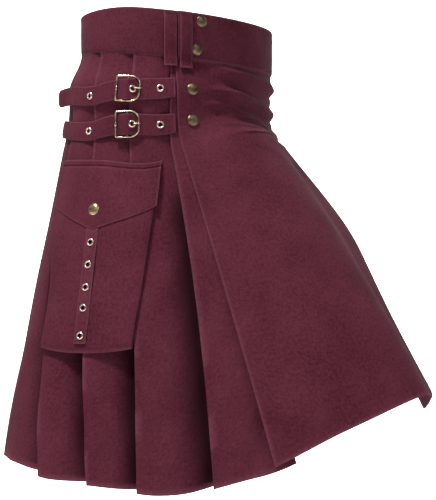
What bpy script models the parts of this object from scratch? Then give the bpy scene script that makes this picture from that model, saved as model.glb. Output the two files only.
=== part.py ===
"""Utility kilt, held in the pose of a wearer who strides with the left leg forward.

Metres, +Z up. The wearer faces -Y and the wearer's right is -X. The origin is
the middle of the waistband's ring, at half the band's height.

Every piece is laid out on one surface, the outer envelope of the skirt, by an
angle round the waist (degrees, 0 at the front, 90 at the wearer's right side),
a distance down from the band's seam, and a distance out from the envelope.
"""
import math

import bmesh
import bpy
import numpy as np

# Waist and skirt
BAND_HEIGHT = 0.060
SKIRT_LENGTH = 0.553
WAIST_HALF_WIDTH = 0.1514
WAIST_HALF_DEPTH = 0.1155
WAIST_TILT = math.radians(6.0)
BACK_DIP = 0.010
BACK_DIP_FROM = 70.0
BACK_DIP_SPAN = 60.0

# Cloth and the gaps between its layers
CLOTH = 0.0012
GAP = 0.0003
LAYER = 0.0017
BAND_WALL = 0.0026

# How the skirt hangs: a hip under the band, then a crease where the thigh lifts it
HIP_DEPTH = 0.060
CREASE_DOWN = 0.113
CREASE_SPREAD = 0.030
THROW_EASE = 0.33
TAKE_UP_DEPTH = 0.150
BODY_STEP = 30.0
BODY_COLUMNS = ("angle", "hip", "flare", "throw", "take_up")
BODY_SHAPE = (
    (-180, 0.0168, 0.160, 0.000, 0.020),
    (-150, 0.0167, 0.180, 0.000, 0.010),
    (-120, 0.0166, 0.207, 0.030, 0.009),
    (-90, 0.0135, 0.211, 0.189, 0.022),
    (-60, 0.0040, 0.199, 0.446, 0.043),
    (-30, -0.0065, 0.120, 0.480, 0.040),
    (0, -0.0030, 0.148, 0.500, 0.056),
    (30, 0.0090, 0.161, 0.391, 0.048),
    (60, 0.0155, 0.186, 0.207, 0.006),
    (90, 0.0167, 0.237, 0.038, 0.014),
    (120, 0.0168, 0.212, -0.010, 0.022),
    (150, 0.0168, 0.170, 0.000, 0.028),
)

# The wearer's left half lies farther back, because nothing of it shows past the front's outline
LEFT_SHIFT = 12.0

# Distances down at which the cloth is cut into sections; 1.0 is the hem
SKIRT_ROWS = (0.000, 0.013, 0.030, 0.060, 0.082, 0.098, 0.114, 0.132, 0.155, 0.200, 0.280, 0.400, 1.0)
APRON_ROWS = (0.000, 0.012, 0.024, 0.036, 0.048, 0.060, 0.071, 0.082, 0.090, 0.098, 0.106, 0.114,
              0.123, 0.132, 0.155, 0.200, 0.280, 0.400, 1.0)

# Fold edges of the pleats on one side, from the apron to the centre back
PLEAT_COLUMNS = ("angle_at_band", "angle_at_hem")
PLEATS = (
    (52.2, 58.3),
    (74.1, 73.4),
    (98.4, 83.6),
    (123.5, 97.4),
    (142.7, 121.0),
    (161.4, 150.0),
)
BACK_EDGE_GAP = 0.0009
PLEAT_STEP_TOP = 2 * LAYER
PLEAT_STEP_HEM = 0.026
PLEAT_DEPTH_TOP = 0.030
PLEAT_DEPTH_HEM = 0.022
LAST_PLEAT_DEPTH = 0.45
PLEATS_OPEN_FROM = 0.160
LAST_FACE_ANGLE = 42.0
LAST_FACE_STEP = 0.016
LAST_FACE_DROP = 0.009

# Apron and under apron
APRON_OUT = 0.0024
APRON_EDGE = (50.0, 46.0)
APRON_COLUMNS = 18
UNDER_APRON_SPAN = (45.0, -50.0)
UNDER_APRON_COLUMNS = 9
UNDER_APRON_ROWS = (0.000, 0.013, 0.030, 0.060, 0.082, 0.098, 0.114, 0.132, 0.200, 0.400, 1.0)
UNDER_APRON_OUT = (-0.0028, -0.0230)
UNDER_APRON_SHORTER = 0.008

# Wrinkles of the apron at the hip crease, as soft ridges between two ends
WRINKLE_MM_PER_DEGREE = 2.4
WRINKLE_COLUMNS = ("angle_1", "down_1", "angle_2", "down_2", "height", "half_width")
WRINKLES = (
    (33, 0.016, -49, 0.030, 0.0070, 0.011),
    (33, 0.062, -49, 0.076, 0.0085, 0.013),
    (32, 0.098, -49, 0.118, 0.0060, 0.014),
    (28, 0.142, -30, 0.172, 0.0035, 0.016),
)

# Waistband
BAND_STEP = 7.2
BAND_BODY_ENDS = (-40.0, 319.6)
BAND_FRONT_EDGE = 48.6
BAND_FRONT_OUT = BAND_WALL + GAP

# Belt loops
LOOP_COLUMNS = ("name", "angle", "base_out", "below_seam", "skirt_out")
LOOPS = (
    ("belt_loop_right_back", 52.8, BAND_WALL / 2, 0.0120, APRON_OUT + CLOTH / 2),
    ("belt_loop_right_front", 44.4, BAND_FRONT_OUT + BAND_WALL / 2, 0.0145, APRON_OUT + CLOTH / 2),
    ("belt_loop_left_back", -52.8 - LEFT_SHIFT, BAND_WALL / 2, 0.0120, APRON_OUT + CLOTH / 2),
    ("belt_loop_left_front", -44.4 - LEFT_SHIFT, BAND_FRONT_OUT + BAND_WALL / 2, 0.0145, APRON_OUT + CLOTH / 2),
    ("belt_loop_back", 180.0, BAND_WALL / 2, 0.0120, CLOTH / 2),
)
LOOP_WIDTH = 0.0160
LOOP_WALL = 0.0016
LOOP_STAND_OFF = 0.0026

# Snaps
SNAP_SIDES = 12
SNAP_PROFILE = ((0.0, 0.0025), (0.0045, 0.0022), (0.0069, 0.0012), (0.0074, 0.0004), (0.0068, 0.0), (0.0, 0.0))
SNAP_COLUMNS = ("name", "angle", "down", "surface_out")
FRONT_SNAPS = (
    ("snap_band_top", 35.4, -0.0497, BAND_FRONT_OUT + BAND_WALL / 2),
    ("snap_band_low", 38.2, -0.0131, BAND_FRONT_OUT + BAND_WALL / 2),
    ("snap_apron_top", 41.7, 0.0500, None),
    ("snap_apron_low", 42.0, 0.1001, None),
)

# Adjusting straps: the centre line goes back from the apron's edge, and the tips stand off.
# Each row is a section; the eyelets sit in the middle of flat lengths between two sections.
STRAP_WIDTH = 0.0280
STRAP_WALL = 0.0020
STRAP_SEAT = CLOTH / 2 + 0.0004 + STRAP_WALL / 2
STRAP_COLUMNS = ("angle", "down", "lift")
STRAP_TAIL_LIFT = 0.0022
STRAP_PEAK_LIFT = 0.0066
UPPER_STRAP = (
    (50.6, 0.0438, 0.0000),
    (55.7, 0.0441, 0.0000),
    (60.7, 0.0447, 0.0000),
    (65.5, 0.0458, 0.0000),
    (70.1, 0.0469, 0.0000),
    (74.2, 0.0487, STRAP_PEAK_LIFT),
    (75.4, 0.0492, STRAP_PEAK_LIFT),
    (79.7, 0.0511, STRAP_TAIL_LIFT),
    (84.0, 0.0539, STRAP_TAIL_LIFT),
    (89.5, 0.0586, STRAP_TAIL_LIFT),
    (94.0, 0.0622, 0.0004),
    (96.0, 0.0634, 0.0000),
    (101.2, 0.0650, 0.0000),
    (107.0, 0.0658, 0.0000),
    (113.0, 0.0655, 0.0004),
    (119.0, 0.0665, 0.0010),
    (124.0, 0.0685, 0.0035),
    (128.0, 0.0705, 0.0075),
    (132.0, 0.0725, 0.0120),
)
LOWER_STRAP = (
    (50.8, 0.0948, 0.0000),
    (55.7, 0.0934, 0.0000),
    (60.7, 0.0925, 0.0000),
    (65.5, 0.0922, 0.0000),
    (70.1, 0.0926, 0.0000),
    (74.2, 0.0949, STRAP_PEAK_LIFT),
    (75.4, 0.0956, STRAP_PEAK_LIFT),
    (79.7, 0.0980, STRAP_TAIL_LIFT),
    (84.0, 0.1015, STRAP_TAIL_LIFT),
    (89.5, 0.1072, STRAP_TAIL_LIFT),
    (94.0, 0.1118, 0.0004),
    (96.0, 0.1135, 0.0000),
    (101.2, 0.1160, 0.0000),
    (107.0, 0.1180, 0.0000),
    (113.0, 0.1190, 0.0000),
    (119.0, 0.1196, 0.0006),
    (125.0, 0.1200, 0.0018),
    (131.5, 0.1200, 0.0036),
)
STRAPS = (("upper", UPPER_STRAP), ("lower", LOWER_STRAP))
STRAP_EYELETS = (("front", 58.2), ("prong", 72.15), ("back", 98.6))

# Buckles, in a flat frame: s goes back along the strap, o goes out, w goes across
BUCKLE_ANGLE = 74.8
BUCKLE_HALF_WIDTH = 0.0163
BUCKLE_BAR_S = 0.0145
BUCKLE_CURVE_S = -0.0150
BUCKLE_CORNER = 0.0078
BUCKLE_WIRE = 0.00115
BUCKLE_OUT = 0.0048
BUCKLE_RISE = 0.0011
CENTRE_BAR_RADIUS = 0.0010
PRONG_RADIUS = 0.0008
PRONG_ROUTE = (
    (-0.0003, 0.0045), (-0.0040, 0.0038), (-0.0094, 0.0071), (-0.0148, 0.0062), (-0.0178, 0.0056))

# Tabs: a strip hooked round the centre bar, its tail sewn on the pleats behind
TAB_HALF_WIDTH = 0.0120
TAB_WALL = 0.0010
TAB_TAIL_OUT = CLOTH / 2 + 0.0006 + TAB_WALL / 2
TAB_TAIL_ANGLES = (89.5, 84.0, 79.7, 77.6)
TAB_HOOK_RADIUS = CENTRE_BAR_RADIUS + 0.0004 + TAB_WALL / 2
TAB_HOOK_TURNS = (300, 260, 220, 180, 140, 100, 60)
TAB_SLOT = 0.0014

# Cargo pockets
POCKET_ANGLE = 88.3
POCKET_SLANT = 0.145
POCKET_TOP = 0.1525
POCKET_BODY_TOP = 0.0125
POCKET_BODY_BOTTOM = 0.2390
POCKET_SAG = 0.0060
POCKET_HALF_TOP = 0.0770
POCKET_HALF_BOTTOM = 0.0670
POCKET_SEAT = CLOTH / 2 + 0.0004
POCKET_PROUD = 0.0058
POCKET_COLUMNS = 10
POCKET_ROW_SHARES = (0.0, 0.16, 0.33, 0.50, 0.67, 0.84, 1.0)
FLAP_HALF = 0.0785
FLAP_CORNER = 0.0590
FLAP_TIP = 0.0905
FLAP_COLUMNS = 10
FLAP_HEAD_OUT = POCKET_SEAT + CLOTH / 2
FLAP_OUT = POCKET_PROUD + GAP + CLOTH / 2
FLAP_ROW_COLUMNS = ("from_top", "share_to_edge", "out")
FLAP_ROWS = (
    (0.0000, 0.00, FLAP_HEAD_OUT),
    (0.0018, 0.00, FLAP_HEAD_OUT + 0.0022),
    (0.0064, 0.00, FLAP_HEAD_OUT + 0.0022),
    (0.0078, 0.00, FLAP_HEAD_OUT + 0.0012),
    (0.0105, 0.00, FLAP_OUT),
    (0.0300, 0.00, FLAP_OUT),
    (0.0300, 0.50, FLAP_OUT),
    (0.0300, 1.00, FLAP_OUT),
)
STRIP_HALF = 0.0083
STRIP_BOTTOM = 0.2330
POCKET_SNAP_DOWN = 0.0645
POCKET_EYELETS = (0.1060, 0.1343, 0.1627, 0.1885, 0.2229)

# Eyelets
EYELET_SIDES = 8
EYELET_PROFILE = ((0.0025, 0.0), (0.0031, 0.0008), (0.0042, 0.0008), (0.0050, 0.0))
EYELET_HOLE = 0.0029
HOLE_SIDES = 8

MATERIALS = {
    "cloth": ((0.115, 0.025, 0.040), 0.90, 0.0),
    "brass": ((0.200, 0.145, 0.060), 0.40, 1.0),
    "nickel": ((0.640, 0.560, 0.500), 0.28, 1.0),
}


def clear_scene():
    for thing in list(bpy.data.objects):
        bpy.data.objects.remove(thing, do_unlink=True)


def material(kind):
    if kind in bpy.data.materials:
        return bpy.data.materials[kind]
    colour, roughness, metallic = MATERIALS[kind]
    made = bpy.data.materials.new(kind)
    made.use_nodes = True
    shader = made.node_tree.nodes["Principled BSDF"]
    shader.inputs["Base Color"].default_value = (*colour, 1.0)
    shader.inputs["Roughness"].default_value = roughness
    shader.inputs["Metallic"].default_value = metallic
    return made


def smooth_step(value):
    value = np.clip(value, 0.0, 1.0)
    return value * value * (3 - 2 * value)


def mix(a, b, share):
    return a + (b - a) * share


# The envelope of the skirt

def body_value(column, angle):
    """Smooth periodic reading of one column of BODY_SHAPE."""
    values = np.array([row[BODY_COLUMNS.index(column)] for row in BODY_SHAPE])
    turns = (np.asarray(angle, float) + 180.0) / BODY_STEP % len(values)
    first = np.floor(turns).astype(int)
    t = turns - first
    p0, p1, p2, p3 = (values[(first + k) % len(values)] for k in (-1, 0, 1, 2))
    bend = 2 * p0 - 5 * p1 + 4 * p2 - p3
    twist = 3 * p1 - p0 - 3 * p2 + p3
    return 0.5 * (2 * p1 + (p2 - p0) * t + bend * t ** 2 + twist * t ** 3)


def below_crease(down):
    """Distance past the hip crease, eased in over CREASE_SPREAD."""
    past = (down - CREASE_DOWN) / CREASE_SPREAD
    eased = CREASE_SPREAD * (past + 1) ** 2 / 4
    return np.where(past < -1, 0.0, np.where(past > 1, down - CREASE_DOWN, eased))


def envelope(angle, down):
    """Points of the skirt's outer envelope; a negative distance down is on the band."""
    angle, down = np.broadcast_arrays(np.asarray(angle, float), np.asarray(down, float))
    turn = np.radians(angle)
    out_x, out_y = -np.sin(turn), -np.cos(turn)
    ring_x, ring_y = WAIST_HALF_WIDTH * out_x, WAIST_HALF_DEPTH * out_y
    flare, throw = body_value("flare", angle), body_value("throw", angle)
    run = below_crease(down)
    hip = body_value("hip", angle) * smooth_step(down / HIP_DEPTH)
    forward = throw * run * (1 - THROW_EASE * run)
    lost = np.zeros_like(run)
    for share in (0.1, 0.3, 0.5, 0.7, 0.9):
        lean_y = flare * out_y - throw * (1 - 2 * THROW_EASE * run * share)
        lean_x = flare * out_x
        lost = lost + run * (1 - np.sqrt(1 - lean_x ** 2 - lean_y ** 2)) / 5
    take_up = body_value("take_up", angle) * np.clip(down / TAKE_UP_DEPTH, 0, 1)
    wrapped = np.abs((angle + 180) % 360 - 180)
    dip = BACK_DIP * smooth_step((wrapped - BACK_DIP_FROM) / BACK_DIP_SPAN)
    fall = np.where(down < 0, down * (1 - dip / BAND_HEIGHT), down - lost - take_up)
    x = ring_x + (hip + flare * run) * out_x
    y = ring_y + (hip + flare * run) * out_y - forward
    z = ring_y * math.tan(WAIST_TILT) - BAND_HEIGHT / 2 - fall
    return np.stack([x, y, z], axis=-1)


def outward(angle, down):
    """Level direction out of the envelope, stretched so that moving along it keeps layers parallel."""
    along = envelope(np.asarray(angle) + 0.5, down) - envelope(np.asarray(angle) - 0.5, down)
    fall = envelope(angle, np.asarray(down) + 0.002) - envelope(angle, np.asarray(down) - 0.002)
    normal = np.cross(along, fall)
    normal = normal / np.linalg.norm(normal, axis=-1, keepdims=True)
    turn = np.radians(angle)
    side = normal[..., 0] * -np.sin(turn) + normal[..., 1] * -np.cos(turn)
    normal = normal * np.sign(side)[..., None]
    level = normal * (1.0, 1.0, 0.0)
    return level / np.sum(level ** 2, axis=-1, keepdims=True)


def cloth_point(angle, down, out):
    angle, down, out = np.broadcast_arrays(
        np.asarray(angle, float), np.asarray(down, float), np.asarray(out, float))
    return envelope(angle, down) + out[..., None] * outward(angle, down)


def walk(angle, down, distance):
    """Angles reached by going a distance round the envelope, towards the back where it is positive."""
    distance = np.asarray(distance, float)
    reach = np.max(np.abs(distance)) / 0.0015 + 2.0
    steps = np.linspace(-reach, reach, 241)
    points = envelope(angle + steps, down)
    runs = np.linalg.norm(np.diff(points, axis=0), axis=1)
    places = np.concatenate([[0.0], np.cumsum(runs)])
    places = places - np.interp(0.0, steps, places)
    return angle + np.interp(distance, places, steps)


def around(side, angle):
    """Angle of a place on the wearer's right, or of its twin on the left."""
    return angle if side > 0 else -(angle + LEFT_SHIFT)


def row_down(share_or_down):
    """Rows are distances down from the seam; the last, 1.0, is the hem."""
    return SKIRT_LENGTH if share_or_down == 1.0 else share_or_down


# Mesh building

def finish_mesh(name, mesh_data, kind, smooth=True):
    bmesh.ops.remove_doubles(mesh_data, verts=mesh_data.verts, dist=1e-6)
    bmesh.ops.dissolve_degenerate(mesh_data, edges=mesh_data.edges, dist=1e-7)
    bmesh.ops.recalc_face_normals(mesh_data, faces=mesh_data.faces)
    mesh = bpy.data.meshes.new(name)
    mesh_data.to_mesh(mesh)
    mesh_data.free()
    mesh.materials.append(material(kind))
    if smooth:
        mesh.shade_smooth()
        mesh.set_sharp_from_angle(angle=math.radians(40))
    made = bpy.data.objects.new(name, mesh)
    bpy.context.scene.collection.objects.link(made)
    return made


def quad(mesh_data, corners):
    """Two triangles, always split along the same diagonal."""
    a, b, c, d = corners
    for face in ((a, b, c), (a, c, d)):
        if len(set(face)) == 3:
            mesh_data.faces.new(face)


def shell(name, outer, inner, kind="cloth"):
    """Closed wall between two grids of points with the same rows and columns."""
    mesh_data = bmesh.new()
    rows, columns = outer.shape[:2]
    grids = []
    for grid in (outer, inner):
        grids.append([[mesh_data.verts.new(grid[r, c]) for c in range(columns)] for r in range(rows)])
    front, back = grids
    for r in range(rows - 1):
        for c in range(columns - 1):
            quad(mesh_data, (front[r][c], front[r][c + 1], front[r + 1][c + 1], front[r + 1][c]))
            quad(mesh_data, (back[r][c], back[r][c + 1], back[r + 1][c + 1], back[r + 1][c]))
    for r in range(rows - 1):
        for c in (0, columns - 1):
            quad(mesh_data, (front[r][c], front[r + 1][c], back[r + 1][c], back[r][c]))
    for c in range(columns - 1):
        for r in (0, rows - 1):
            quad(mesh_data, (front[r][c], front[r][c + 1], back[r][c + 1], back[r][c]))
    return finish_mesh(name, mesh_data, kind)


def panel(name, angles, downs, outs, wall, kind="cloth"):
    """Cloth wall whose middle passes through a grid of places on the envelope."""
    return shell(name, cloth_point(angles, downs, outs + wall / 2), cloth_point(angles, downs, outs - wall / 2), kind)


def lathe(name, profile, sides, origin, axis, kind):
    """Turned piece; the profile's points are (radius, height) along the axis."""
    axis = axis / np.linalg.norm(axis)
    side = np.cross(axis, (0.0, 0.0, 1.0))
    side = side / np.linalg.norm(side)
    other = np.cross(axis, side)
    mesh_data = bmesh.new()
    rings = []
    for radius, height in profile:
        ring = []
        for k in range(sides):
            turn = 2 * math.pi * k / sides
            spoke = math.cos(turn) * side + math.sin(turn) * other
            ring.append(mesh_data.verts.new(origin + axis * height + spoke * radius))
        rings.append(ring)
    closed = profile[0][0] > 0
    pairs = len(rings) if closed else len(rings) - 1
    for r in range(pairs):
        low, high = rings[r], rings[(r + 1) % len(rings)]
        for k in range(sides):
            n = (k + 1) % sides
            quad(mesh_data, (low[k], low[n], high[n], high[k]))
    return finish_mesh(name, mesh_data, kind)


def tube(name, points, radius, sides, kind, closed=False, up=(0.0, 0.0, 1.0)):
    """Round wire through the points."""
    points = [np.asarray(p, float) for p in points]
    count = len(points)
    mesh_data = bmesh.new()
    rings = []
    for k, point in enumerate(points):
        before = points[k - 1] if closed or k > 0 else point
        after = points[(k + 1) % count] if closed or k < count - 1 else point
        ahead = after - before
        ahead = ahead / np.linalg.norm(ahead)
        side = np.cross(ahead, up)
        side = side / np.linalg.norm(side)
        other = np.cross(ahead, side)
        turns = [2 * math.pi * (j + 0.5) / sides for j in range(sides)]
        rings.append([mesh_data.verts.new(point + radius * (math.cos(t) * side + math.sin(t) * other)) for t in turns])
    for k in range(count if closed else count - 1):
        low, high = rings[k], rings[(k + 1) % count]
        for j in range(sides):
            n = (j + 1) % sides
            quad(mesh_data, (low[j], low[n], high[n], high[j]))
    if not closed:
        mesh_data.faces.new(rings[0])
        mesh_data.faces.new(rings[-1])
    return finish_mesh(name, mesh_data, kind)


def combine(target, other, operation):
    """Boolean with a guide object that isn't part of the model."""
    other.hide_render = True
    other.display_type = "WIRE"
    change = target.modifiers.new(operation.lower(), "BOOLEAN")
    change.operation = operation
    change.object = other
    change.solver = "EXACT"


def drill(target, origin, axis, depth):
    """Round hole for an eyelet."""
    axis = axis / np.linalg.norm(axis)
    profile = ((0.0, -depth), (EYELET_HOLE, -depth), (EYELET_HOLE, depth), (0.0, depth))
    cutter = lathe(target.name + "_hole", profile, HOLE_SIDES, origin, axis, "cloth")
    combine(target, cutter, "DIFFERENCE")


# Pleated skirt

def pleat_angle(pleat, down, side):
    """Angle of a fold edge, counted from the one beside the apron."""
    at_band, at_hem = PLEATS[pleat]
    angle = mix(at_band, at_hem, down / SKIRT_LENGTH)
    if side < 0:
        angle = angle + LEFT_SHIFT * min(1.0, (180.0 - angle) / (180.0 - PLEATS[0][0]))
    return angle


def pleat_opening(down):
    return float(np.clip((down - PLEATS_OPEN_FROM) / (SKIRT_LENGTH - PLEATS_OPEN_FROM), 0, 1))


def side_section(down, side):
    """Middle line of the cloth from the centre back to the apron: (distance from the back, out)."""
    angles = np.linspace(180.0, 0.0, 361)
    points = envelope(side * angles, down)
    runs = np.linalg.norm(np.diff(points, axis=0), axis=1)
    places = np.concatenate([[0.0], np.cumsum(runs)])

    def place(angle):
        return float(np.interp(-angle, -angles, places))

    opening = pleat_opening(down)
    step = mix(PLEAT_STEP_TOP, PLEAT_STEP_HEM, opening)
    depth = mix(PLEAT_DEPTH_TOP, PLEAT_DEPTH_HEM, opening)
    extra = step - PLEAT_STEP_TOP
    edges = [place(pleat_angle(n, down, side)) for n in range(len(PLEATS) - 1, -1, -1)]
    edges = [BACK_EDGE_GAP + CLOTH / 2] + edges
    line = []
    for number, edge in enumerate(edges):
        if number == len(edges) - 1:
            depth = depth * LAST_PLEAT_DEPTH
        line += [(edge + depth, -step), (edge + depth, -step + LAYER), (edge, -LAYER), (edge, 0.0)]
        if number == len(edges) - 1:
            break
        width = edges[number + 1] - edge
        line += [
            (edge + mix(depth / 2, width * 0.25, opening), -extra * 0.10),
            (edge + mix(depth + 0.002, width * 0.52, opening), -extra * 0.32),
            (edge + width, -step),
        ]
    end = place(LAST_FACE_ANGLE + (LEFT_SHIFT if side < 0 else 0.0))
    fall = LAST_FACE_STEP * opening
    last = edges[-1]
    for share, dip in ((0.35, 0.25), (0.70, 0.65), (1.0, 1.0)):
        line.append((mix(last, end, share), -fall * dip))
    return line, (places, angles)


def offset_line(line, distance):
    """Line moved sideways by a distance, with mitred corners."""
    line = np.asarray(line)
    ahead = np.diff(line, axis=0)
    ahead = ahead / np.linalg.norm(ahead, axis=1, keepdims=True)
    normals = np.stack([-ahead[:, 1], ahead[:, 0]], axis=1)
    moved = []
    for k, point in enumerate(line):
        first, second = normals[max(k - 1, 0)], normals[min(k, len(normals) - 1)]
        moved.append(point + distance * (first + second) / (1 + np.dot(first, second)))
    return np.array(moved)


def pleat_row(down):
    """One closed section of the skirt's wall, as outer and inner points from the left end to the right."""
    sides = {}
    for side in (-1, 1):
        line, (places, angles) = side_section(down, side)
        sides[side] = (line, places, angles)
    right, left = sides[1], sides[-1]
    whole = [(-s, h) for s, h in reversed(left[0])] + list(right[0])
    outer = offset_line(whole, CLOTH / 2)
    inner = offset_line(whole, -CLOTH / 2)
    drop_from = right[0][-4][0]
    drop_to = right[0][-1][0]
    rows = []
    for moved in (outer, inner):
        s = moved[:, 0]
        on_right = np.interp(np.abs(s), right[1], right[2])
        on_left = -np.interp(np.abs(s), left[1], left[2])
        angle = np.where(s >= 0, on_right, on_left)
        longer = LAST_FACE_DROP * smooth_step((np.abs(s) - drop_from) / (drop_to - drop_from))
        hem_share = down / SKIRT_LENGTH
        rows.append(cloth_point(angle, down + longer * hem_share, moved[:, 1]))
    return rows


def make_pleated_skirt():
    outer, inner = [], []
    for row in SKIRT_ROWS:
        outer_row, inner_row = pleat_row(row_down(row))
        outer.append(outer_row)
        inner.append(inner_row)
    lowered = np.array([0.0, 0.0, -GAP])
    return shell("pleated_skirt", np.array(outer) + lowered, np.array(inner) + lowered)


# Aprons

def wrinkle_height(angle, down):
    """Relief of the apron where the cloth gathers in front of the hip crease."""
    relief = np.zeros(np.broadcast(angle, down).shape)
    across = np.asarray(angle) * WRINKLE_MM_PER_DEGREE / 1000
    for angle_1, down_1, angle_2, down_2, height, half_width in WRINKLES:
        start = np.array([angle_1 * WRINKLE_MM_PER_DEGREE / 1000, down_1])
        end = np.array([angle_2 * WRINKLE_MM_PER_DEGREE / 1000, down_2])
        run = end - start
        length = np.linalg.norm(run)
        run = run / length
        along = (across - start[0]) * run[0] + (down - start[1]) * run[1]
        aside = (across - start[0]) * -run[1] + (down - start[1]) * run[0]
        fade = smooth_step(along / (0.22 * length)) * smooth_step((length - along) / (0.10 * length))
        relief = relief + height * fade * np.exp(-(aside / half_width) ** 2)
    return relief


def apron_out(angle, down):
    return APRON_OUT + wrinkle_height(angle, down)


def apron_edge(down):
    return mix(APRON_EDGE[0], APRON_EDGE[1], down / SKIRT_LENGTH)


def make_apron():
    downs = np.array([row_down(row) for row in APRON_ROWS])[:, None]
    shares = np.linspace(0.0, 1.0, APRON_COLUMNS + 1)[None, :]
    angles = mix(apron_edge(downs), -apron_edge(downs) - LEFT_SHIFT, shares)
    downs = downs + 0.0 * shares
    made = panel("apron", angles, downs, apron_out(angles, downs), CLOTH)
    made.location.z = -GAP
    return made


def make_under_apron():
    length = SKIRT_LENGTH - UNDER_APRON_SHORTER
    downs = np.array([length if row == 1.0 else row for row in UNDER_APRON_ROWS])[:, None]
    angles = np.linspace(UNDER_APRON_SPAN[0], UNDER_APRON_SPAN[1], UNDER_APRON_COLUMNS + 1)[None, :]
    opening = np.clip((downs - PLEATS_OPEN_FROM) / (SKIRT_LENGTH - PLEATS_OPEN_FROM), 0, 1)
    outs = mix(UNDER_APRON_OUT[0], UNDER_APRON_OUT[1], opening)
    angles, downs, outs = np.broadcast_arrays(angles, downs, outs)
    made = panel("under_apron", angles, downs, outs, CLOTH)
    made.location.z = -GAP
    return made


# Waistband

def make_band(name, start, end, out):
    inner_steps = np.arange(math.ceil(start / BAND_STEP + 0.3), math.floor(end / BAND_STEP - 0.3) + 1) * BAND_STEP
    angles = np.concatenate([[start], inner_steps, [end]])[None, :]
    downs = np.array([-BAND_HEIGHT, -BAND_HEIGHT / 2, 0.0])[:, None]
    angles, downs = np.broadcast_arrays(angles, downs)
    return panel(name, angles, downs, np.full(angles.shape, out), BAND_WALL)


def make_belt_loop(name, angle, base_out, below_seam, skirt_out):
    """Strip over the band: close to it at the top, standing off in the middle, and tucked at its foot."""
    seated = base_out + GAP + LOOP_WALL / 2
    foot = skirt_out + GAP + LOOP_WALL / 2
    profile = (
        (-BAND_HEIGHT + 0.0005, seated),
        (-BAND_HEIGHT + 0.0060, seated),
        (-BAND_HEIGHT + 0.0130, seated + LOOP_STAND_OFF * 0.8),
        (-BAND_HEIGHT * 0.45, seated + LOOP_STAND_OFF),
        (-0.0060, seated + LOOP_STAND_OFF * 0.7),
        (0.0030, max(seated, foot + 0.0012)),
        (below_seam - 0.0040, foot + 0.0012),
        (below_seam, foot + 0.0012),
    )
    downs = np.array([down for down, _ in profile])[:, None]
    outs = np.array([out for _, out in profile])[:, None]
    edges = [walk(angle, -BAND_HEIGHT / 2, s) for s in (-LOOP_WIDTH / 2, 0.0, LOOP_WIDTH / 2)]
    angles, downs, outs = np.broadcast_arrays(np.array(edges)[None, :], downs, outs)
    return panel(name, angles, downs, outs, LOOP_WALL)


# Snaps and eyelets

def place_on(angle, down, out):
    """Point on a piece and the direction straight out of the cloth there."""
    point = cloth_point(angle, down, out)
    level = outward(angle, down)
    fall = envelope(angle, down + 0.002) - envelope(angle, down - 0.002)
    along = envelope(angle + 0.5, down) - envelope(angle - 0.5, down)
    normal = np.cross(along, fall)
    if np.dot(normal, level) < 0:
        normal = -normal
    return point, normal / np.linalg.norm(normal)


def make_snap(name, angle, down, surface_out):
    """Snap seated on the highest places of the cloth under its rim."""
    origin, axis = place_on(angle, down, surface_out)
    reach = SNAP_PROFILE[3][0]
    turns = np.radians(np.arange(0.0, 360.0, 30.0))
    level = np.linalg.norm(envelope(angle + 0.5, down) - envelope(angle - 0.5, down))
    rim = cloth_point(angle + np.cos(turns) * reach / level, down + np.sin(turns) * reach, surface_out)
    lift = max(0.0, float(np.max((rim - origin) @ axis)))
    return lathe(name, SNAP_PROFILE, SNAP_SIDES, origin + axis * (lift + GAP), axis, "brass")


def make_front_snaps(side, side_name):
    for name, angle, down, surface_out in FRONT_SNAPS:
        angle = around(side, angle)
        if surface_out is None:
            surface_out = float(apron_out(angle, down)) + CLOTH / 2
        make_snap(f"{side_name}_{name}", angle, down, surface_out)


# Straps and buckles

def strap_reading(table, angle):
    angles, downs, lifts = (np.array(column) for column in zip(*table))
    return float(np.interp(angle, angles, downs)), float(np.interp(angle, angles, lifts))


def strap_section(side, table, angle, out):
    """Upper and lower edges of a strap at an angle, bridging the cloth beneath it, and its way out."""
    down, _ = strap_reading(table, angle)
    place = around(side, angle)
    shares = np.linspace(-0.5, 0.5, 7)
    cloth = cloth_point(place, down + shares * STRAP_WIDTH, out)
    chord = cloth[0] + (shares + 0.5)[:, None] * (cloth[-1] - cloth[0])
    direction = outward(place, down)
    direction = direction / np.linalg.norm(direction)
    bridge = max(0.0, float(np.max((cloth - chord) @ direction)))
    return cloth[0] + bridge * direction, cloth[-1] + bridge * direction, direction


def strap_grid(side, table):
    """Edges, middles and normals of a strap's sections."""
    sections = [strap_section(side, table, row[0], STRAP_SEAT + row[2]) for row in table]
    tops, lows, outs = (np.array(part) for part in zip(*sections))
    middle = (tops + lows) / 2
    steps = np.diff(middle, axis=0)
    facets = np.cross(steps, (lows - tops)[:-1] + (lows - tops)[1:])
    facets = facets / np.linalg.norm(facets, axis=1, keepdims=True)
    facets = facets * np.sign(np.sum(facets * outs[:-1], axis=1))[:, None]
    before = np.vstack([facets[:1], facets])
    after = np.vstack([facets, facets[-1:]])
    normals = (before + after) / (1 + np.sum(before * after, axis=1))[:, None]
    return tops, lows, middle, normals, facets


def buckle_frame(side, table):
    """Origin on the cloth under the centre bar, and the directions out, back and across."""
    top, low, out = strap_section(side, table, BUCKLE_ANGLE, 0.0)
    ahead = strap_section(side, table, BUCKLE_ANGLE + 3.0, 0.0)
    behind = strap_section(side, table, BUCKLE_ANGLE - 3.0, 0.0)
    across = (low - top) / np.linalg.norm(low - top)
    back = (ahead[0] + ahead[1] - behind[0] - behind[1]) / 4
    back = back - np.dot(back, across) * across
    back = back / np.linalg.norm(back)
    normal = np.cross(back, across)
    normal = normal * np.sign(np.dot(normal, out))
    return (top + low) / 2, normal, back, across


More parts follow.
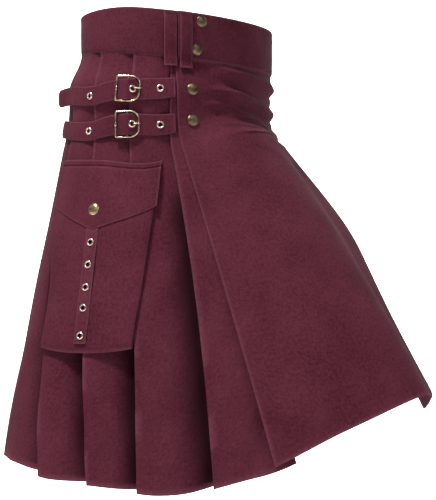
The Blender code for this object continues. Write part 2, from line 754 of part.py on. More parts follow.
def make_strap(side, side_name, place, table):
    tops, lows, middle, normals, facets = strap_grid(side, table)
    half = normals * STRAP_WALL / 2
    grid = np.stack([tops, lows])
    strap = shell(f"{side_name}_strap_{place}", grid + half, grid - half)
    angles = np.array([row[0] for row in table])
    for eyelet, angle in STRAP_EYELETS:
        k = int(np.searchsorted(angles, angle)) - 1
        share = (angle - angles[k]) / (angles[k + 1] - angles[k])
        centre = mix(middle[k], middle[k + 1], share)
        drill(strap, centre, facets[k], STRAP_WALL)
        seat = centre + facets[k] * (STRAP_WALL / 2 + GAP)
        lathe(f"{side_name}_eyelet_{place}_{eyelet}", EYELET_PROFILE, EYELET_SIDES, seat, facets[k], "nickel")


def buckle_outline():
    """Middle of the D frame's wire as (s, w): a straight bar at the back and a rounded front."""
    half, corner = BUCKLE_HALF_WIDTH, BUCKLE_CORNER
    points = [(BUCKLE_BAR_S, -half), (BUCKLE_BAR_S, half), (0.0, half)]
    for flip, turns in ((1, (90, 120, 150, 180)), (-1, (180, 150, 120, 90))):
        for turn in turns:
            angle = math.radians(turn)
            s = BUCKLE_CURVE_S + corner + corner * math.cos(angle)
            points.append((s, flip * (half - corner + corner * math.sin(angle))))
    points.append((0.0, -half))
    return points


def make_buckle(side, side_name, place, table):
    origin, out, back, across = buckle_frame(side, table)

    def at(s, o, w=0.0):
        return origin + back * s + out * o + across * w

    def plane(s):
        return BUCKLE_OUT + BUCKLE_RISE * s / BUCKLE_BAR_S

    name = f"{side_name}_buckle_{place}"
    frame = tube(name, [at(s, plane(s), w) for s, w in buckle_outline()], BUCKLE_WIRE, 6,
                 "nickel", closed=True, up=out)
    reach = BUCKLE_HALF_WIDTH
    bar = tube(name + "_bar", [at(0.0, plane(0.0), -reach), at(0.0, plane(0.0), reach)],
               CENTRE_BAR_RADIUS, 6, "nickel", up=out)
    prong = tube(name + "_prong", [at(s, o) for s, o in PRONG_ROUTE], PRONG_RADIUS, 6, "nickel", up=across)
    combine(frame, bar, "UNION")
    combine(frame, prong, "UNION")


def make_tab(side, side_name, place, table):
    """Strip hooked round the centre bar from below, slotted for the prong, with a tail under the strap."""
    origin, out, back, across = buckle_frame(side, table)
    grids = []
    for turned in (-1, 1):
        line, ways = [], []
        for angle in TAB_TAIL_ANGLES:
            top, low, way = strap_section(side, table, angle, TAB_TAIL_OUT)
            line.append((top + low) / 2 + way * turned * TAB_WALL / 2)
            ways.append((low - top) / np.linalg.norm(low - top))
        radius = TAB_HOOK_RADIUS - turned * TAB_WALL / 2
        for turn in TAB_HOOK_TURNS:
            angle = math.radians(turn)
            line.append(origin + back * radius * math.cos(angle) + out * (BUCKLE_OUT + radius * math.sin(angle)))
            ways.append(across)
        reach = np.array(ways) * TAB_HALF_WIDTH
        grids.append(np.stack([np.array(line) - reach, np.array(line) + reach]))
    tab = shell(f"{side_name}_buckle_tab_{place}", grids[0], grids[1])
    corners = [(s, o) for s, o in ((0.0004, 0.0016), (0.0004, 0.0075), (-0.0045, 0.0075), (-0.0045, 0.0016))]
    box = bmesh.new()
    ends = []
    for w in (-TAB_SLOT, TAB_SLOT):
        ends.append([box.verts.new(origin + back * s + out * o + across * w) for s, o in corners])
    box.faces.new(ends[0])
    box.faces.new(ends[1])
    for k in range(4):
        n = (k + 1) % 4
        box.faces.new((ends[0][k], ends[0][n], ends[1][n], ends[1][k]))
    combine(tab, finish_mesh(tab.name + "_slot", box, "cloth", smooth=False), "DIFFERENCE")


# Cargo pockets

def pocket_place(side, across, down):
    """Angle and distance down of a place on a pocket: across is positive towards the back."""
    level = POCKET_TOP + down + POCKET_SLANT * across
    centre = around(side, POCKET_ANGLE)
    return float(walk(centre, level, side * across)), level


def pocket_half(down):
    share = (down - POCKET_BODY_TOP) / (POCKET_BODY_BOTTOM - POCKET_BODY_TOP)
    return mix(POCKET_HALF_TOP, POCKET_HALF_BOTTOM, share)


def pocket_grid(side, places):
    """Points of a grid of (across, down, out) places."""
    rows = []
    for row in places:
        points = []
        for across, down, out in row:
            angle, level = pocket_place(side, across, down)
            points.append(cloth_point(angle, level, out))
        rows.append(points)
    return np.array(rows)


def tray(side, inset, front_out, top, bottom):
    """Front panel with sides and bottom folded back to the skirt, as one grid."""
    places = []
    for share in POCKET_ROW_SHARES:
        row = []
        for column in range(POCKET_COLUMNS + 1):
            x = 2 * column / POCKET_COLUMNS - 1
            low = bottom + POCKET_SAG * (1 - x * x)
            down = mix(top, low, share)
            row.append((x * (pocket_half(down) - inset), down, front_out))
        first, last = row[0], row[-1]
        row = [(first[0], first[1], POCKET_SEAT)] + row + [(last[0], last[1], POCKET_SEAT)]
        places.append(row)
    places.append([(across, down, POCKET_SEAT) for across, down, _ in places[-1]])
    return pocket_grid(side, places)


def make_pocket_body(side, side_name):
    outer = tray(side, 0.0, POCKET_PROUD, POCKET_BODY_TOP, POCKET_BODY_BOTTOM)
    inner = tray(side, CLOTH, POCKET_PROUD - CLOTH, POCKET_BODY_TOP, POCKET_BODY_BOTTOM - CLOTH)
    return shell(f"{side_name}_pocket", outer, inner)


def flap_bottom(across):
    """Lower edge of the flap: straight from each corner to the point in the middle."""
    return mix(FLAP_TIP, FLAP_CORNER, abs(across) / FLAP_HALF)


def make_flap(side, side_name):
    """Flap with its head band; the band lies on the skirt and the rest rises over the pocket."""
    places = []
    for from_top, towards_edge, out in FLAP_ROWS:
        row = []
        for column in range(FLAP_COLUMNS + 1):
            across = FLAP_HALF * (2 * column / FLAP_COLUMNS - 1)
            row.append((across, mix(from_top, flap_bottom(across), towards_edge), out))
        places.append(row)
    outer = [[(a, d, o + CLOTH / 2) for a, d, o in row] for row in places]
    inner = [[(a, d, o - CLOTH / 2) for a, d, o in row] for row in places]
    return shell(f"{side_name}_pocket_flap", pocket_grid(side, outer), pocket_grid(side, inner))


def make_strip(side, side_name):
    out = POCKET_PROUD + GAP
    rows = []
    for share in (0.0, 0.25, 0.5, 0.75, 1.0):
        row = []
        for x in (-1.0, 0.0, 1.0):
            across = x * STRIP_HALF
            top = flap_bottom(across) + 0.0008
            row.append((across, mix(top, STRIP_BOTTOM, share), out))
        rows.append(row)
    outer = [[(a, d, o + CLOTH) for a, d, o in row] for row in rows]
    return shell(f"{side_name}_pocket_strip", pocket_grid(side, outer), pocket_grid(side, rows))


def make_pocket(side, side_name):
    make_pocket_body(side, side_name)
    make_flap(side, side_name)
    strip = make_strip(side, side_name)
    for number, down in enumerate(POCKET_EYELETS, start=1):
        angle, level = pocket_place(side, 0.0, down)
        seat, axis = place_on(angle, level, POCKET_PROUD + GAP + CLOTH + GAP)
        drill(strip, seat, axis, 2.5 * CLOTH)
        lathe(f"{side_name}_pocket_eyelet_{number}", EYELET_PROFILE, EYELET_SIDES, seat, axis, "nickel")
    angle, level = pocket_place(side, 0.0, POCKET_SNAP_DOWN)
    make_snap(f"{side_name}_snap_pocket", angle, level, POCKET_PROUD + GAP + CLOTH)


def make_kilt():
    clear_scene()
    make_band("waistband_body", BAND_BODY_ENDS[0], BAND_BODY_ENDS[1], 0.0)
    make_band("waistband_front", -BAND_FRONT_EDGE - LEFT_SHIFT, BAND_FRONT_EDGE, BAND_FRONT_OUT)
    make_pleated_skirt()
    make_under_apron()
    make_apron()
    for loop in LOOPS:
        make_belt_loop(*loop)
    for side, side_name in ((1, "right"), (-1, "left")):
        make_front_snaps(side, side_name)
        for place, table in STRAPS:
            make_strap(side, side_name, place, table)
            make_buckle(side, side_name, place, table)
            make_tab(side, side_name, place, table)
        make_pocket(side, side_name)


make_kilt()
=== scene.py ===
"""Looks of the utility kilt: finer cloth, sewing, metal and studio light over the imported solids."""

import math

import bmesh
import bpy
import numpy as np
from mathutils import Matrix, Vector


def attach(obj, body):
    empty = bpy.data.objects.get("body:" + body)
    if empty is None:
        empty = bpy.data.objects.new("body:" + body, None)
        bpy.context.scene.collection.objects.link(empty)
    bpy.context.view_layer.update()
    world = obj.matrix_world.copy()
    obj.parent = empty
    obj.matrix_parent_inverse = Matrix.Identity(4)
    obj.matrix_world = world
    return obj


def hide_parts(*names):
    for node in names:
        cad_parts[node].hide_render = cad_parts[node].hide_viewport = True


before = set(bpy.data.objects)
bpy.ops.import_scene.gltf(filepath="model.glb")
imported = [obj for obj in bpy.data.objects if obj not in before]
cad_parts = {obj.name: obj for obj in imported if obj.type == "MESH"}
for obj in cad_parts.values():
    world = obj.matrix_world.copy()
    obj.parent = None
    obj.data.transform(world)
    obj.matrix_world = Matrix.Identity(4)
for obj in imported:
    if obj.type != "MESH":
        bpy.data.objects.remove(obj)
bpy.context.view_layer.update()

# Waist and skirt
BAND_HEIGHT = 0.060
SKIRT_LENGTH = 0.553
WAIST_HALF_WIDTH = 0.1514
WAIST_HALF_DEPTH = 0.1155
WAIST_TILT = math.radians(6.0)
BACK_DIP = 0.010
BACK_DIP_FROM = 70.0
BACK_DIP_SPAN = 60.0

# Cloth and the gaps between its layers
CLOTH = 0.0012
GAP = 0.0003
LAYER = 0.0017
BAND_WALL = 0.0026

# How the skirt hangs: a hip under the band, then a crease where the thigh lifts it
HIP_DEPTH = 0.060
CREASE_DOWN = 0.113
CREASE_SPREAD = 0.030
THROW_EASE = 0.33
TAKE_UP_DEPTH = 0.150
BODY_STEP = 30.0
BODY_COLUMNS = ("angle", "hip", "flare", "throw", "take_up")
BODY_SHAPE = (
    (-180, 0.0168, 0.160, 0.000, 0.020),
    (-150, 0.0167, 0.180, 0.000, 0.010),
    (-120, 0.0166, 0.207, 0.030, 0.009),
    (-90, 0.0135, 0.211, 0.189, 0.022),
    (-60, 0.0040, 0.199, 0.446, 0.043),
    (-30, -0.0065, 0.120, 0.480, 0.040),
    (0, -0.0030, 0.148, 0.500, 0.056),
    (30, 0.0090, 0.161, 0.391, 0.048),
    (60, 0.0155, 0.186, 0.207, 0.006),
    (90, 0.0167, 0.237, 0.038, 0.014),
    (120, 0.0168, 0.212, -0.010, 0.022),
    (150, 0.0168, 0.170, 0.000, 0.028),
)

# The wearer's left half lies farther back, because nothing of it shows past the front's outline
LEFT_SHIFT = 12.0

# Fold edges of the pleats on one side, from the apron to the centre back
PLEATS = (
    (52.2, 58.3),
    (74.1, 73.4),
    (98.4, 83.6),
    (123.5, 97.4),
    (142.7, 121.0),
    (161.4, 150.0),
)
BACK_EDGE_GAP = 0.0009
PLEAT_STEP_TOP = 2 * LAYER
PLEAT_STEP_HEM = 0.026
PLEAT_DEPTH_TOP = 0.030
PLEAT_DEPTH_HEM = 0.022
LAST_PLEAT_DEPTH = 0.45
PLEATS_OPEN_FROM = 0.160
LAST_FACE_ANGLE = 42.0
LAST_FACE_STEP = 0.016
LAST_FACE_DROP = 0.009

# Apron and under apron
APRON_OUT = 0.0024
APRON_EDGE = (50.0, 46.0)
UNDER_APRON_SPAN = (45.0, -50.0)
UNDER_APRON_OUT = (-0.0028, -0.0230)
UNDER_APRON_SHORTER = 0.008

# Wrinkles of the apron at the hip crease, as soft ridges between two ends
WRINKLE_MM_PER_DEGREE = 2.4
WRINKLES = (
    (33, 0.016, -49, 0.030, 0.0070, 0.011),
    (33, 0.062, -49, 0.076, 0.0085, 0.013),
    (32, 0.098, -49, 0.118, 0.0060, 0.014),
    (28, 0.142, -30, 0.172, 0.0035, 0.016),
)

# Waistband
BAND_BODY_ENDS = (-40.0, 319.6)
BAND_FRONT_EDGE = 48.6
BAND_FRONT_OUT = BAND_WALL + GAP

# Belt loops
LOOPS = (
    ("belt_loop_right_back", 52.8, BAND_WALL / 2, 0.0120, APRON_OUT + CLOTH / 2),
    ("belt_loop_right_front", 44.4, BAND_FRONT_OUT + BAND_WALL / 2, 0.0145, APRON_OUT + CLOTH / 2),
    ("belt_loop_left_back", -52.8 - LEFT_SHIFT, BAND_WALL / 2, 0.0120, APRON_OUT + CLOTH / 2),
    ("belt_loop_left_front", -44.4 - LEFT_SHIFT, BAND_FRONT_OUT + BAND_WALL / 2, 0.0145,
     APRON_OUT + CLOTH / 2),
    ("belt_loop_back", 180.0, BAND_WALL / 2, 0.0120, CLOTH / 2),
)
LOOP_WIDTH = 0.0160
LOOP_WALL = 0.0016
LOOP_STAND_OFF = 0.0026

# Snaps
SNAP_PROFILE = ((0.0, 0.0025), (0.0045, 0.0022), (0.0069, 0.0012), (0.0074, 0.0004), (0.0068, 0.0),
                (0.0, 0.0))
FRONT_SNAPS = (
    ("snap_band_top", 35.4, -0.0497, BAND_FRONT_OUT + BAND_WALL / 2),
    ("snap_band_low", 38.2, -0.0131, BAND_FRONT_OUT + BAND_WALL / 2),
    ("snap_apron_top", 41.7, 0.0500, None),
    ("snap_apron_low", 42.0, 0.1001, None),
)

# Adjusting straps: the centre line goes back from the apron's edge, and the tips stand off.
# Each row is a section; the eyelets sit in the middle of flat lengths between two sections.
STRAP_WIDTH = 0.0280
STRAP_WALL = 0.0020
STRAP_SEAT = CLOTH / 2 + 0.0004 + STRAP_WALL / 2
STRAP_TAIL_LIFT = 0.0022
STRAP_PEAK_LIFT = 0.0066
UPPER_STRAP = (
    (50.6, 0.0438, 0.0000),
    (55.7, 0.0441, 0.0000),
    (60.7, 0.0447, 0.0000),
    (65.5, 0.0458, 0.0000),
    (70.1, 0.0469, 0.0000),
    (74.2, 0.0487, STRAP_PEAK_LIFT),
    (75.4, 0.0492, STRAP_PEAK_LIFT),
    (79.7, 0.0511, STRAP_TAIL_LIFT),
    (84.0, 0.0539, STRAP_TAIL_LIFT),
    (89.5, 0.0586, STRAP_TAIL_LIFT),
    (94.0, 0.0622, 0.0004),
    (96.0, 0.0634, 0.0000),
    (101.2, 0.0650, 0.0000),
    (107.0, 0.0658, 0.0000),
    (113.0, 0.0655, 0.0004),
    (119.0, 0.0665, 0.0010),
    (124.0, 0.0685, 0.0035),
    (128.0, 0.0705, 0.0075),
    (132.0, 0.0725, 0.0120),
)
LOWER_STRAP = (
    (50.8, 0.0948, 0.0000),
    (55.7, 0.0934, 0.0000),
    (60.7, 0.0925, 0.0000),
    (65.5, 0.0922, 0.0000),
    (70.1, 0.0926, 0.0000),
    (74.2, 0.0949, STRAP_PEAK_LIFT),
    (75.4, 0.0956, STRAP_PEAK_LIFT),
    (79.7, 0.0980, STRAP_TAIL_LIFT),
    (84.0, 0.1015, STRAP_TAIL_LIFT),
    (89.5, 0.1072, STRAP_TAIL_LIFT),
    (94.0, 0.1118, 0.0004),
    (96.0, 0.1135, 0.0000),
    (101.2, 0.1160, 0.0000),
    (107.0, 0.1180, 0.0000),
    (113.0, 0.1190, 0.0000),
    (119.0, 0.1196, 0.0006),
    (125.0, 0.1200, 0.0018),
    (131.5, 0.1200, 0.0036),
)
STRAPS = (("upper", UPPER_STRAP), ("lower", LOWER_STRAP))
STRAP_EYELETS = (("front", 58.2), ("prong", 72.15), ("back", 98.6))

# Buckles, in a flat frame: s goes back along the strap, o goes out, w goes across
BUCKLE_ANGLE = 74.8
BUCKLE_HALF_WIDTH = 0.0163
BUCKLE_BAR_S = 0.0145
BUCKLE_CURVE_S = -0.0150
BUCKLE_WIRE = 0.00115
BUCKLE_OUT = 0.0048
BUCKLE_RISE = 0.0011
CENTRE_BAR_RADIUS = 0.0010
PRONG_RADIUS = 0.0008
PRONG_ROUTE = (
    (-0.0003, 0.0045), (-0.0040, 0.0038), (-0.0094, 0.0071), (-0.0148, 0.0062), (-0.0178, 0.0056))

# Tabs: a strip hooked round the centre bar, its tail sewn on the pleats behind
TAB_HALF_WIDTH = 0.0120
TAB_WALL = 0.0010
TAB_TAIL_OUT = CLOTH / 2 + 0.0006 + TAB_WALL / 2
TAB_TAIL_ANGLES = (89.5, 84.0, 79.7, 77.6)
TAB_HOOK_RADIUS = CENTRE_BAR_RADIUS + 0.0004 + TAB_WALL / 2
TAB_HOOK_TURNS = (300, 260, 220, 180, 140, 100, 60)
TAB_SLOT = 0.0014

# Cargo pockets
POCKET_ANGLE = 88.3
POCKET_SLANT = 0.145
POCKET_TOP = 0.1525
POCKET_BODY_TOP = 0.0125
POCKET_BODY_BOTTOM = 0.2390
POCKET_SAG = 0.0060
POCKET_HALF_TOP = 0.0770
POCKET_HALF_BOTTOM = 0.0670
POCKET_SEAT = CLOTH / 2 + 0.0004
POCKET_PROUD = 0.0058
FLAP_HALF = 0.0785
FLAP_CORNER = 0.0590
FLAP_TIP = 0.0905
FLAP_HEAD_OUT = POCKET_SEAT + CLOTH / 2
FLAP_OUT = POCKET_PROUD + GAP + CLOTH / 2
FLAP_ROWS = (
    (0.0000, 0.00, FLAP_HEAD_OUT),
    (0.0018, 0.00, FLAP_HEAD_OUT + 0.0022),
    (0.0064, 0.00, FLAP_HEAD_OUT + 0.0022),
    (0.0078, 0.00, FLAP_HEAD_OUT + 0.0012),
    (0.0105, 0.00, FLAP_OUT),
    (0.0300, 0.00, FLAP_OUT),
    (0.0300, 0.50, FLAP_OUT),
    (0.0300, 1.00, FLAP_OUT),
)
STRIP_HALF = 0.0083
STRIP_BOTTOM = 0.2330
POCKET_SNAP_DOWN = 0.0645
POCKET_EYELETS = (0.1060, 0.1343, 0.1627, 0.1885, 0.2229)

# Eyelets
EYELET_HOLE = 0.0029

# Finer form of the scene
FACE_COLUMNS = 11

# Rows and columns of the fine meshes; the pleats stay under 200,000 triangles
SKIRT_TOP = 0.150
SKIRT_TOP_ROWS = 27
SKIRT_LOW_ROWS = 50
APRON_TOP = 0.170
APRON_TOP_ROWS = 56
APRON_LOW_ROWS = 64
APRON_FINE_COLUMNS = 121
POCKET_FINE_ROWS = 46
SHARP_ANGLE = 50
SENSOR_HEIGHT = 24.0
CLOTH_SHEEN = 0.01
CLOTH_GLOSS = 0.04
SHEEN_TINT = (0.70, 0.45, 0.52)
FOLD_RADIUS = 0.0007
SKIRT_WAVE = 0.0032
HEM_SWAY = 0.0016
SOFT_RELIEF = 0.00045
HEM_RIPPLE = 0.0040
FINE_WRINKLES = (
    (36, 0.035, -20, 0.050, 0.004, -0.0022, 0.0050),
    (31, 0.008, -8, 0.014, -0.002, 0.0022, 0.0045),
    (27, 0.083, -30, 0.098, 0.003, -0.0020, 0.0055),
    (34, 0.108, 2, 0.140, 0.004, 0.0014, 0.0060),
    (20, 0.128, -22, 0.152, 0.003, 0.0012, 0.0070),
    (24, 0.160, -6, 0.196, 0.004, 0.0012, 0.0090),
    (-24, 0.034, -50, 0.048, -0.003, -0.0016, 0.0050),
    (38, 0.052, -6, 0.064, 0.002, 0.0034, 0.0055),
    (38, 0.078, 0, 0.100, 0.004, 0.0036, 0.0060),
    (34, 0.120, -14, 0.146, 0.003, 0.0024, 0.0070),
)
THIGH_BULGE = 0.0115
THIGH_DOWN = 0.295
THIGH_REACH = 0.105
LEFT_HEM_RISE = 0.0200
APRON_CORNER_RISE = 0.0170
# Strength of the painted shade that darkens the pleat valleys by their depth in the fold
VALLEY_SHADE = 0.95
TIP_CORNER = 0.0070
ROUND_CORNER = 0.0110
BAND_SWELL = 0.0006
BAND_PUCKER = 0.00032
POCKET_HOLLOW = 0.0030
POCKET_ROUND = 0.0014
FLAP_BULGE = 0.0011
FLAP_DENT = (0.060, 0.040)
STRAP_BEND = 0.0022
FINE_EYELET = (
    (0.0025, 0.0), (0.0026, 0.0005), (0.0030, 0.0010), (0.0036, 0.0012), (0.0042, 0.0010), (0.0047, 0.0005),
    (0.0050, 0.0),
)
FINE_SNAP = (
    (0.0, 0.0026), (0.0022, 0.00255), (0.0040, 0.0023), (0.0052, 0.0019), (0.0058, 0.0015), (0.0061,
                                                                                             0.0013),
    (0.0065, 0.00135), (0.0070, 0.0012), (0.0074, 0.0007), (0.0072, 0.0002), (0.0068, 0.0), (0.0, 0.0),
)

# Sewing
STITCH_SPACING = 0.0030
THREAD_WIDTH = 0.0006
THREAD_RISE = 0.00022
THREAD_SUNK = 0.0001
THREAD_LIFT = 0.0001
APRON_STITCH_INSETS = (0.0020, 0.0100)
HEM_STITCH_RISES = (0.0150,)
BAND_STITCH_DOWNS = (-0.0575, -0.0025)
LOOP_STITCH_INSET = 0.0062
STRAP_STITCH_SHARES = (0.075, 0.925)
POCKET_STITCH_INSET = 0.0058
POCKET_HEM_RISE = 0.0065
FLAP_STITCH_INSET = 0.0030

# Cloth weave and colours
TWILL_SLANT = math.radians(62.0)
TWILL_RIBS = 330.0
CLOTH_DARK = (0.030, 0.0042, 0.0082)
CLOTH_LIGHT = (0.062, 0.0130, 0.0225)
CLOTH_WORN = (0.088, 0.027, 0.040)
WEB_DARK = (0.038, 0.0060, 0.0115)
WEB_LIGHT = (0.076, 0.0175, 0.0290)
# Near-black painted shade for the pleat valleys
PAINTED_SHADE_COLOUR = (0.006, 0.0008, 0.0018)
THREAD_DARK = (0.036, 0.007, 0.012)
THREAD_LIGHT = (0.080, 0.022, 0.033)
BRASS_DARK = (0.055, 0.038, 0.022)
BRASS_LIGHT = (0.170, 0.125, 0.072)
BRIGHT_DARK = (0.150, 0.100, 0.055)
BRIGHT_LIGHT = (0.400, 0.300, 0.185)
BUCKLE_DARK = (0.200, 0.140, 0.090)
BUCKLE_LIGHT = (0.560, 0.450, 0.340)
NICKEL_DARK = (0.270, 0.180, 0.155)
NICKEL_LIGHT = (0.600, 0.460, 0.410)

# Camera, light and backdrop; lights are placed to the side of, above and back from the subject
CAMERA_PLACE = (-1.4514, -0.9825, -0.2674)
CAMERA_AZIMUTH = -57.721
CAMERA_ELEVATION = 0.498
CAMERA_LENS = 61.03
SUBJECT = (0.0, -0.06, -0.25)
LIGHTS = (
    ("key", -1.0, 3.1, 0.9, 0.6, 292.0, (1.0, 0.98, 0.97)),
    ("fill", 1.2, 2.2, 1.8, 1.2, 20.0, (0.96, 0.97, 1.0)),
    ("rim", 0.6, 1.6, -1.8, 1.0, 14.0, (1.0, 1.0, 1.0)),
)
WORLD_STRENGTH = 0.42
BACKDROP_HALF = 9.0
BACKDROP_HEIGHT = -0.75
FLOOR_GLOW = 0.42
CARD_BACK = 3.2
CARD_HALF = 5.0
CARD_GLOW = 1.0


# The envelope of the skirt and what lies on it

def smooth_step(value):
    value = np.clip(value, 0.0, 1.0)
    return value * value * (3 - 2 * value)


def mix(a, b, share):
    return a + (b - a) * share


def body_value(column, angle):
    """Smooth periodic reading of one column of BODY_SHAPE."""
    values = np.array([row[BODY_COLUMNS.index(column)] for row in BODY_SHAPE])
    turns = (np.asarray(angle, float) + 180.0) / BODY_STEP % len(values)
    first = np.floor(turns).astype(int)
    t = turns - first
    p0, p1, p2, p3 = (values[(first + k) % len(values)] for k in (-1, 0, 1, 2))
    bend = 2 * p0 - 5 * p1 + 4 * p2 - p3
    twist = 3 * p1 - p0 - 3 * p2 + p3
    return 0.5 * (2 * p1 + (p2 - p0) * t + bend * t ** 2 + twist * t ** 3)


def below_crease(down):
    """Distance past the hip crease, eased in over CREASE_SPREAD."""
    past = (down - CREASE_DOWN) / CREASE_SPREAD
    eased = CREASE_SPREAD * (past + 1) ** 2 / 4
    return np.where(past < -1, 0.0, np.where(past > 1, down - CREASE_DOWN, eased))


def envelope(angle, down):
    """Points of the skirt's outer envelope; a negative distance down is on the band."""
    angle, down = np.broadcast_arrays(np.asarray(angle, float), np.asarray(down, float))
    turn = np.radians(angle)
    out_x, out_y = -np.sin(turn), -np.cos(turn)
    ring_x, ring_y = WAIST_HALF_WIDTH * out_x, WAIST_HALF_DEPTH * out_y
    flare, throw = body_value("flare", angle), body_value("throw", angle)
    run = below_crease(down)
    hip = body_value("hip", angle) * smooth_step(down / HIP_DEPTH)
    forward = throw * run * (1 - THROW_EASE * run)
    lost = np.zeros_like(run)
    for share in (0.1, 0.3, 0.5, 0.7, 0.9):
        lean_y = flare * out_y - throw * (1 - 2 * THROW_EASE * run * share)
        lean_x = flare * out_x
        lost = lost + run * (1 - np.sqrt(1 - lean_x ** 2 - lean_y ** 2)) / 5
    take_up = body_value("take_up", angle) * np.clip(down / TAKE_UP_DEPTH, 0, 1)
    wrapped = np.abs((angle + 180) % 360 - 180)
    dip = BACK_DIP * smooth_step((wrapped - BACK_DIP_FROM) / BACK_DIP_SPAN)
    fall = np.where(down < 0, down * (1 - dip / BAND_HEIGHT), down - lost - take_up)
    x = ring_x + (hip + flare * run) * out_x
    y = ring_y + (hip + flare * run) * out_y - forward
    z = ring_y * math.tan(WAIST_TILT) - BAND_HEIGHT / 2 - fall
    return np.stack([x, y, z], axis=-1)


def outward(angle, down):
    """Level direction out of the envelope, stretched so that moving along it keeps layers parallel."""
    along = envelope(np.asarray(angle) + 0.5, down) - envelope(np.asarray(angle) - 0.5, down)
    fall = envelope(angle, np.asarray(down) + 0.002) - envelope(angle, np.asarray(down) - 0.002)
    normal = np.cross(along, fall)
    normal = normal / np.linalg.norm(normal, axis=-1, keepdims=True)
    turn = np.radians(angle)
    side = normal[..., 0] * -np.sin(turn) + normal[..., 1] * -np.cos(turn)
    normal = normal * np.sign(side)[..., None]
    level = normal * (1.0, 1.0, 0.0)
    return level / np.sum(level ** 2, axis=-1, keepdims=True)


def cloth_point(angle, down, out):
    angle, down, out = np.broadcast_arrays(
        np.asarray(angle, float), np.asarray(down, float), np.asarray(out, float))
    return envelope(angle, down) + out[..., None] * outward(angle, down)


def walk(angle, down, distance):
    """Angles reached by going a distance round the envelope, towards the back where it is positive."""
    distance = np.asarray(distance, float)
    reach = np.max(np.abs(distance)) / 0.0015 + 2.0
    steps = np.linspace(-reach, reach, 241)
    points = envelope(angle + steps, down)
    runs = np.linalg.norm(np.diff(points, axis=0), axis=1)
    places = np.concatenate([[0.0], np.cumsum(runs)])
    places = places - np.interp(0.0, steps, places)
    return angle + np.interp(distance, places, steps)


def around(side, angle):
    """Angle of a place on the wearer's right, or of its twin on the left."""
    return angle if side > 0 else -(angle + LEFT_SHIFT)


def pleat_angle(pleat, down, side):
    """Angle of a fold edge, counted from the one beside the apron."""
    at_band, at_hem = PLEATS[pleat]
    angle = mix(at_band, at_hem, down / SKIRT_LENGTH)
    if side < 0:
        angle = angle + LEFT_SHIFT * min(1.0, (180.0 - angle) / (180.0 - PLEATS[0][0]))
    return angle


def pleat_opening(down):
    return float(np.clip((down - PLEATS_OPEN_FROM) / (SKIRT_LENGTH - PLEATS_OPEN_FROM), 0, 1))


def side_section(down, side):
    """Middle line of the cloth from the centre back to the apron: (distance from the back, out)."""
    angles = np.linspace(180.0, 0.0, 361)
    points = envelope(side * angles, down)
    runs = np.linalg.norm(np.diff(points, axis=0), axis=1)
    places = np.concatenate([[0.0], np.cumsum(runs)])

    def place(angle):
        return float(np.interp(-angle, -angles, places))

    opening = pleat_opening(down)
    step = mix(PLEAT_STEP_TOP, PLEAT_STEP_HEM, opening)
    depth = mix(PLEAT_DEPTH_TOP, PLEAT_DEPTH_HEM, opening)
    extra = step - PLEAT_STEP_TOP
    edges = [place(pleat_angle(n, down, side)) for n in range(len(PLEATS) - 1, -1, -1)]
    edges = [BACK_EDGE_GAP + CLOTH / 2] + edges
    line = []
    for number, edge in enumerate(edges):
        if number == len(edges) - 1:
            depth = depth * LAST_PLEAT_DEPTH
        line += [(edge + depth, -step), (edge + depth, -step + LAYER), (edge, -LAYER), (edge, 0.0)]
        if number == len(edges) - 1:
            break
        width = edges[number + 1] - edge
        line += [
            (edge + mix(depth / 2, width * 0.25, opening), -extra * 0.10),
            (edge + mix(depth + 0.002, width * 0.52, opening), -extra * 0.32),
            (edge + width, -step),
        ]
    end = place(LAST_FACE_ANGLE + (LEFT_SHIFT if side < 0 else 0.0))
    fall = LAST_FACE_STEP * opening
    last = edges[-1]
    for share, dip in ((0.35, 0.25), (0.70, 0.65), (1.0, 1.0)):
        line.append((mix(last, end, share), -fall * dip))
    return line, (places, angles)


def offset_line(line, distance):
    """Line moved sideways by a distance, with mitred corners."""
    line = np.asarray(line)
    ahead = np.diff(line, axis=0)
    ahead = ahead / np.linalg.norm(ahead, axis=1, keepdims=True)
    normals = np.stack([-ahead[:, 1], ahead[:, 0]], axis=1)
    moved = []
    for k, point in enumerate(line):
        first, second = normals[max(k - 1, 0)], normals[min(k, len(normals) - 1)]
        moved.append(point + distance * (first + second) / (1 + np.dot(first, second)))
    return np.array(moved)


def wrinkle_height(angle, down):
    """Relief of the apron where the cloth gathers in front of the hip crease."""
    relief = np.zeros(np.broadcast(angle, down).shape)
    across = np.asarray(angle) * WRINKLE_MM_PER_DEGREE / 1000
    for angle_1, down_1, angle_2, down_2, height, half_width in WRINKLES:
        start = np.array([angle_1 * WRINKLE_MM_PER_DEGREE / 1000, down_1])
        end = np.array([angle_2 * WRINKLE_MM_PER_DEGREE / 1000, down_2])
        run = end - start
        length = np.linalg.norm(run)
        run = run / length
        along = (across - start[0]) * run[0] + (down - start[1]) * run[1]
        aside = (across - start[0]) * -run[1] + (down - start[1]) * run[0]
        fade = smooth_step(along / (0.22 * length)) * smooth_step((length - along) / (0.10 * length))
        relief = relief + height * fade * np.exp(-(aside / half_width) ** 2)
    return relief


def apron_out(angle, down):
    return APRON_OUT + wrinkle_height(angle, down)


def apron_edge(down):
    return mix(APRON_EDGE[0], APRON_EDGE[1], down / SKIRT_LENGTH)


def place_on(angle, down, out):
    """Point on a piece and the direction straight out of the cloth there."""
    point = cloth_point(angle, down, out)
    level = outward(angle, down)
    fall = envelope(angle, down + 0.002) - envelope(angle, down - 0.002)
    along = envelope(angle + 0.5, down) - envelope(angle - 0.5, down)
    normal = np.cross(along, fall)
    if np.dot(normal, level) < 0:
        normal = -normal
    return point, normal / np.linalg.norm(normal)


def strap_reading(table, angle):
    angles, downs, lifts = (np.array(column) for column in zip(*table))
    return float(np.interp(angle, angles, downs)), float(np.interp(angle, angles, lifts))


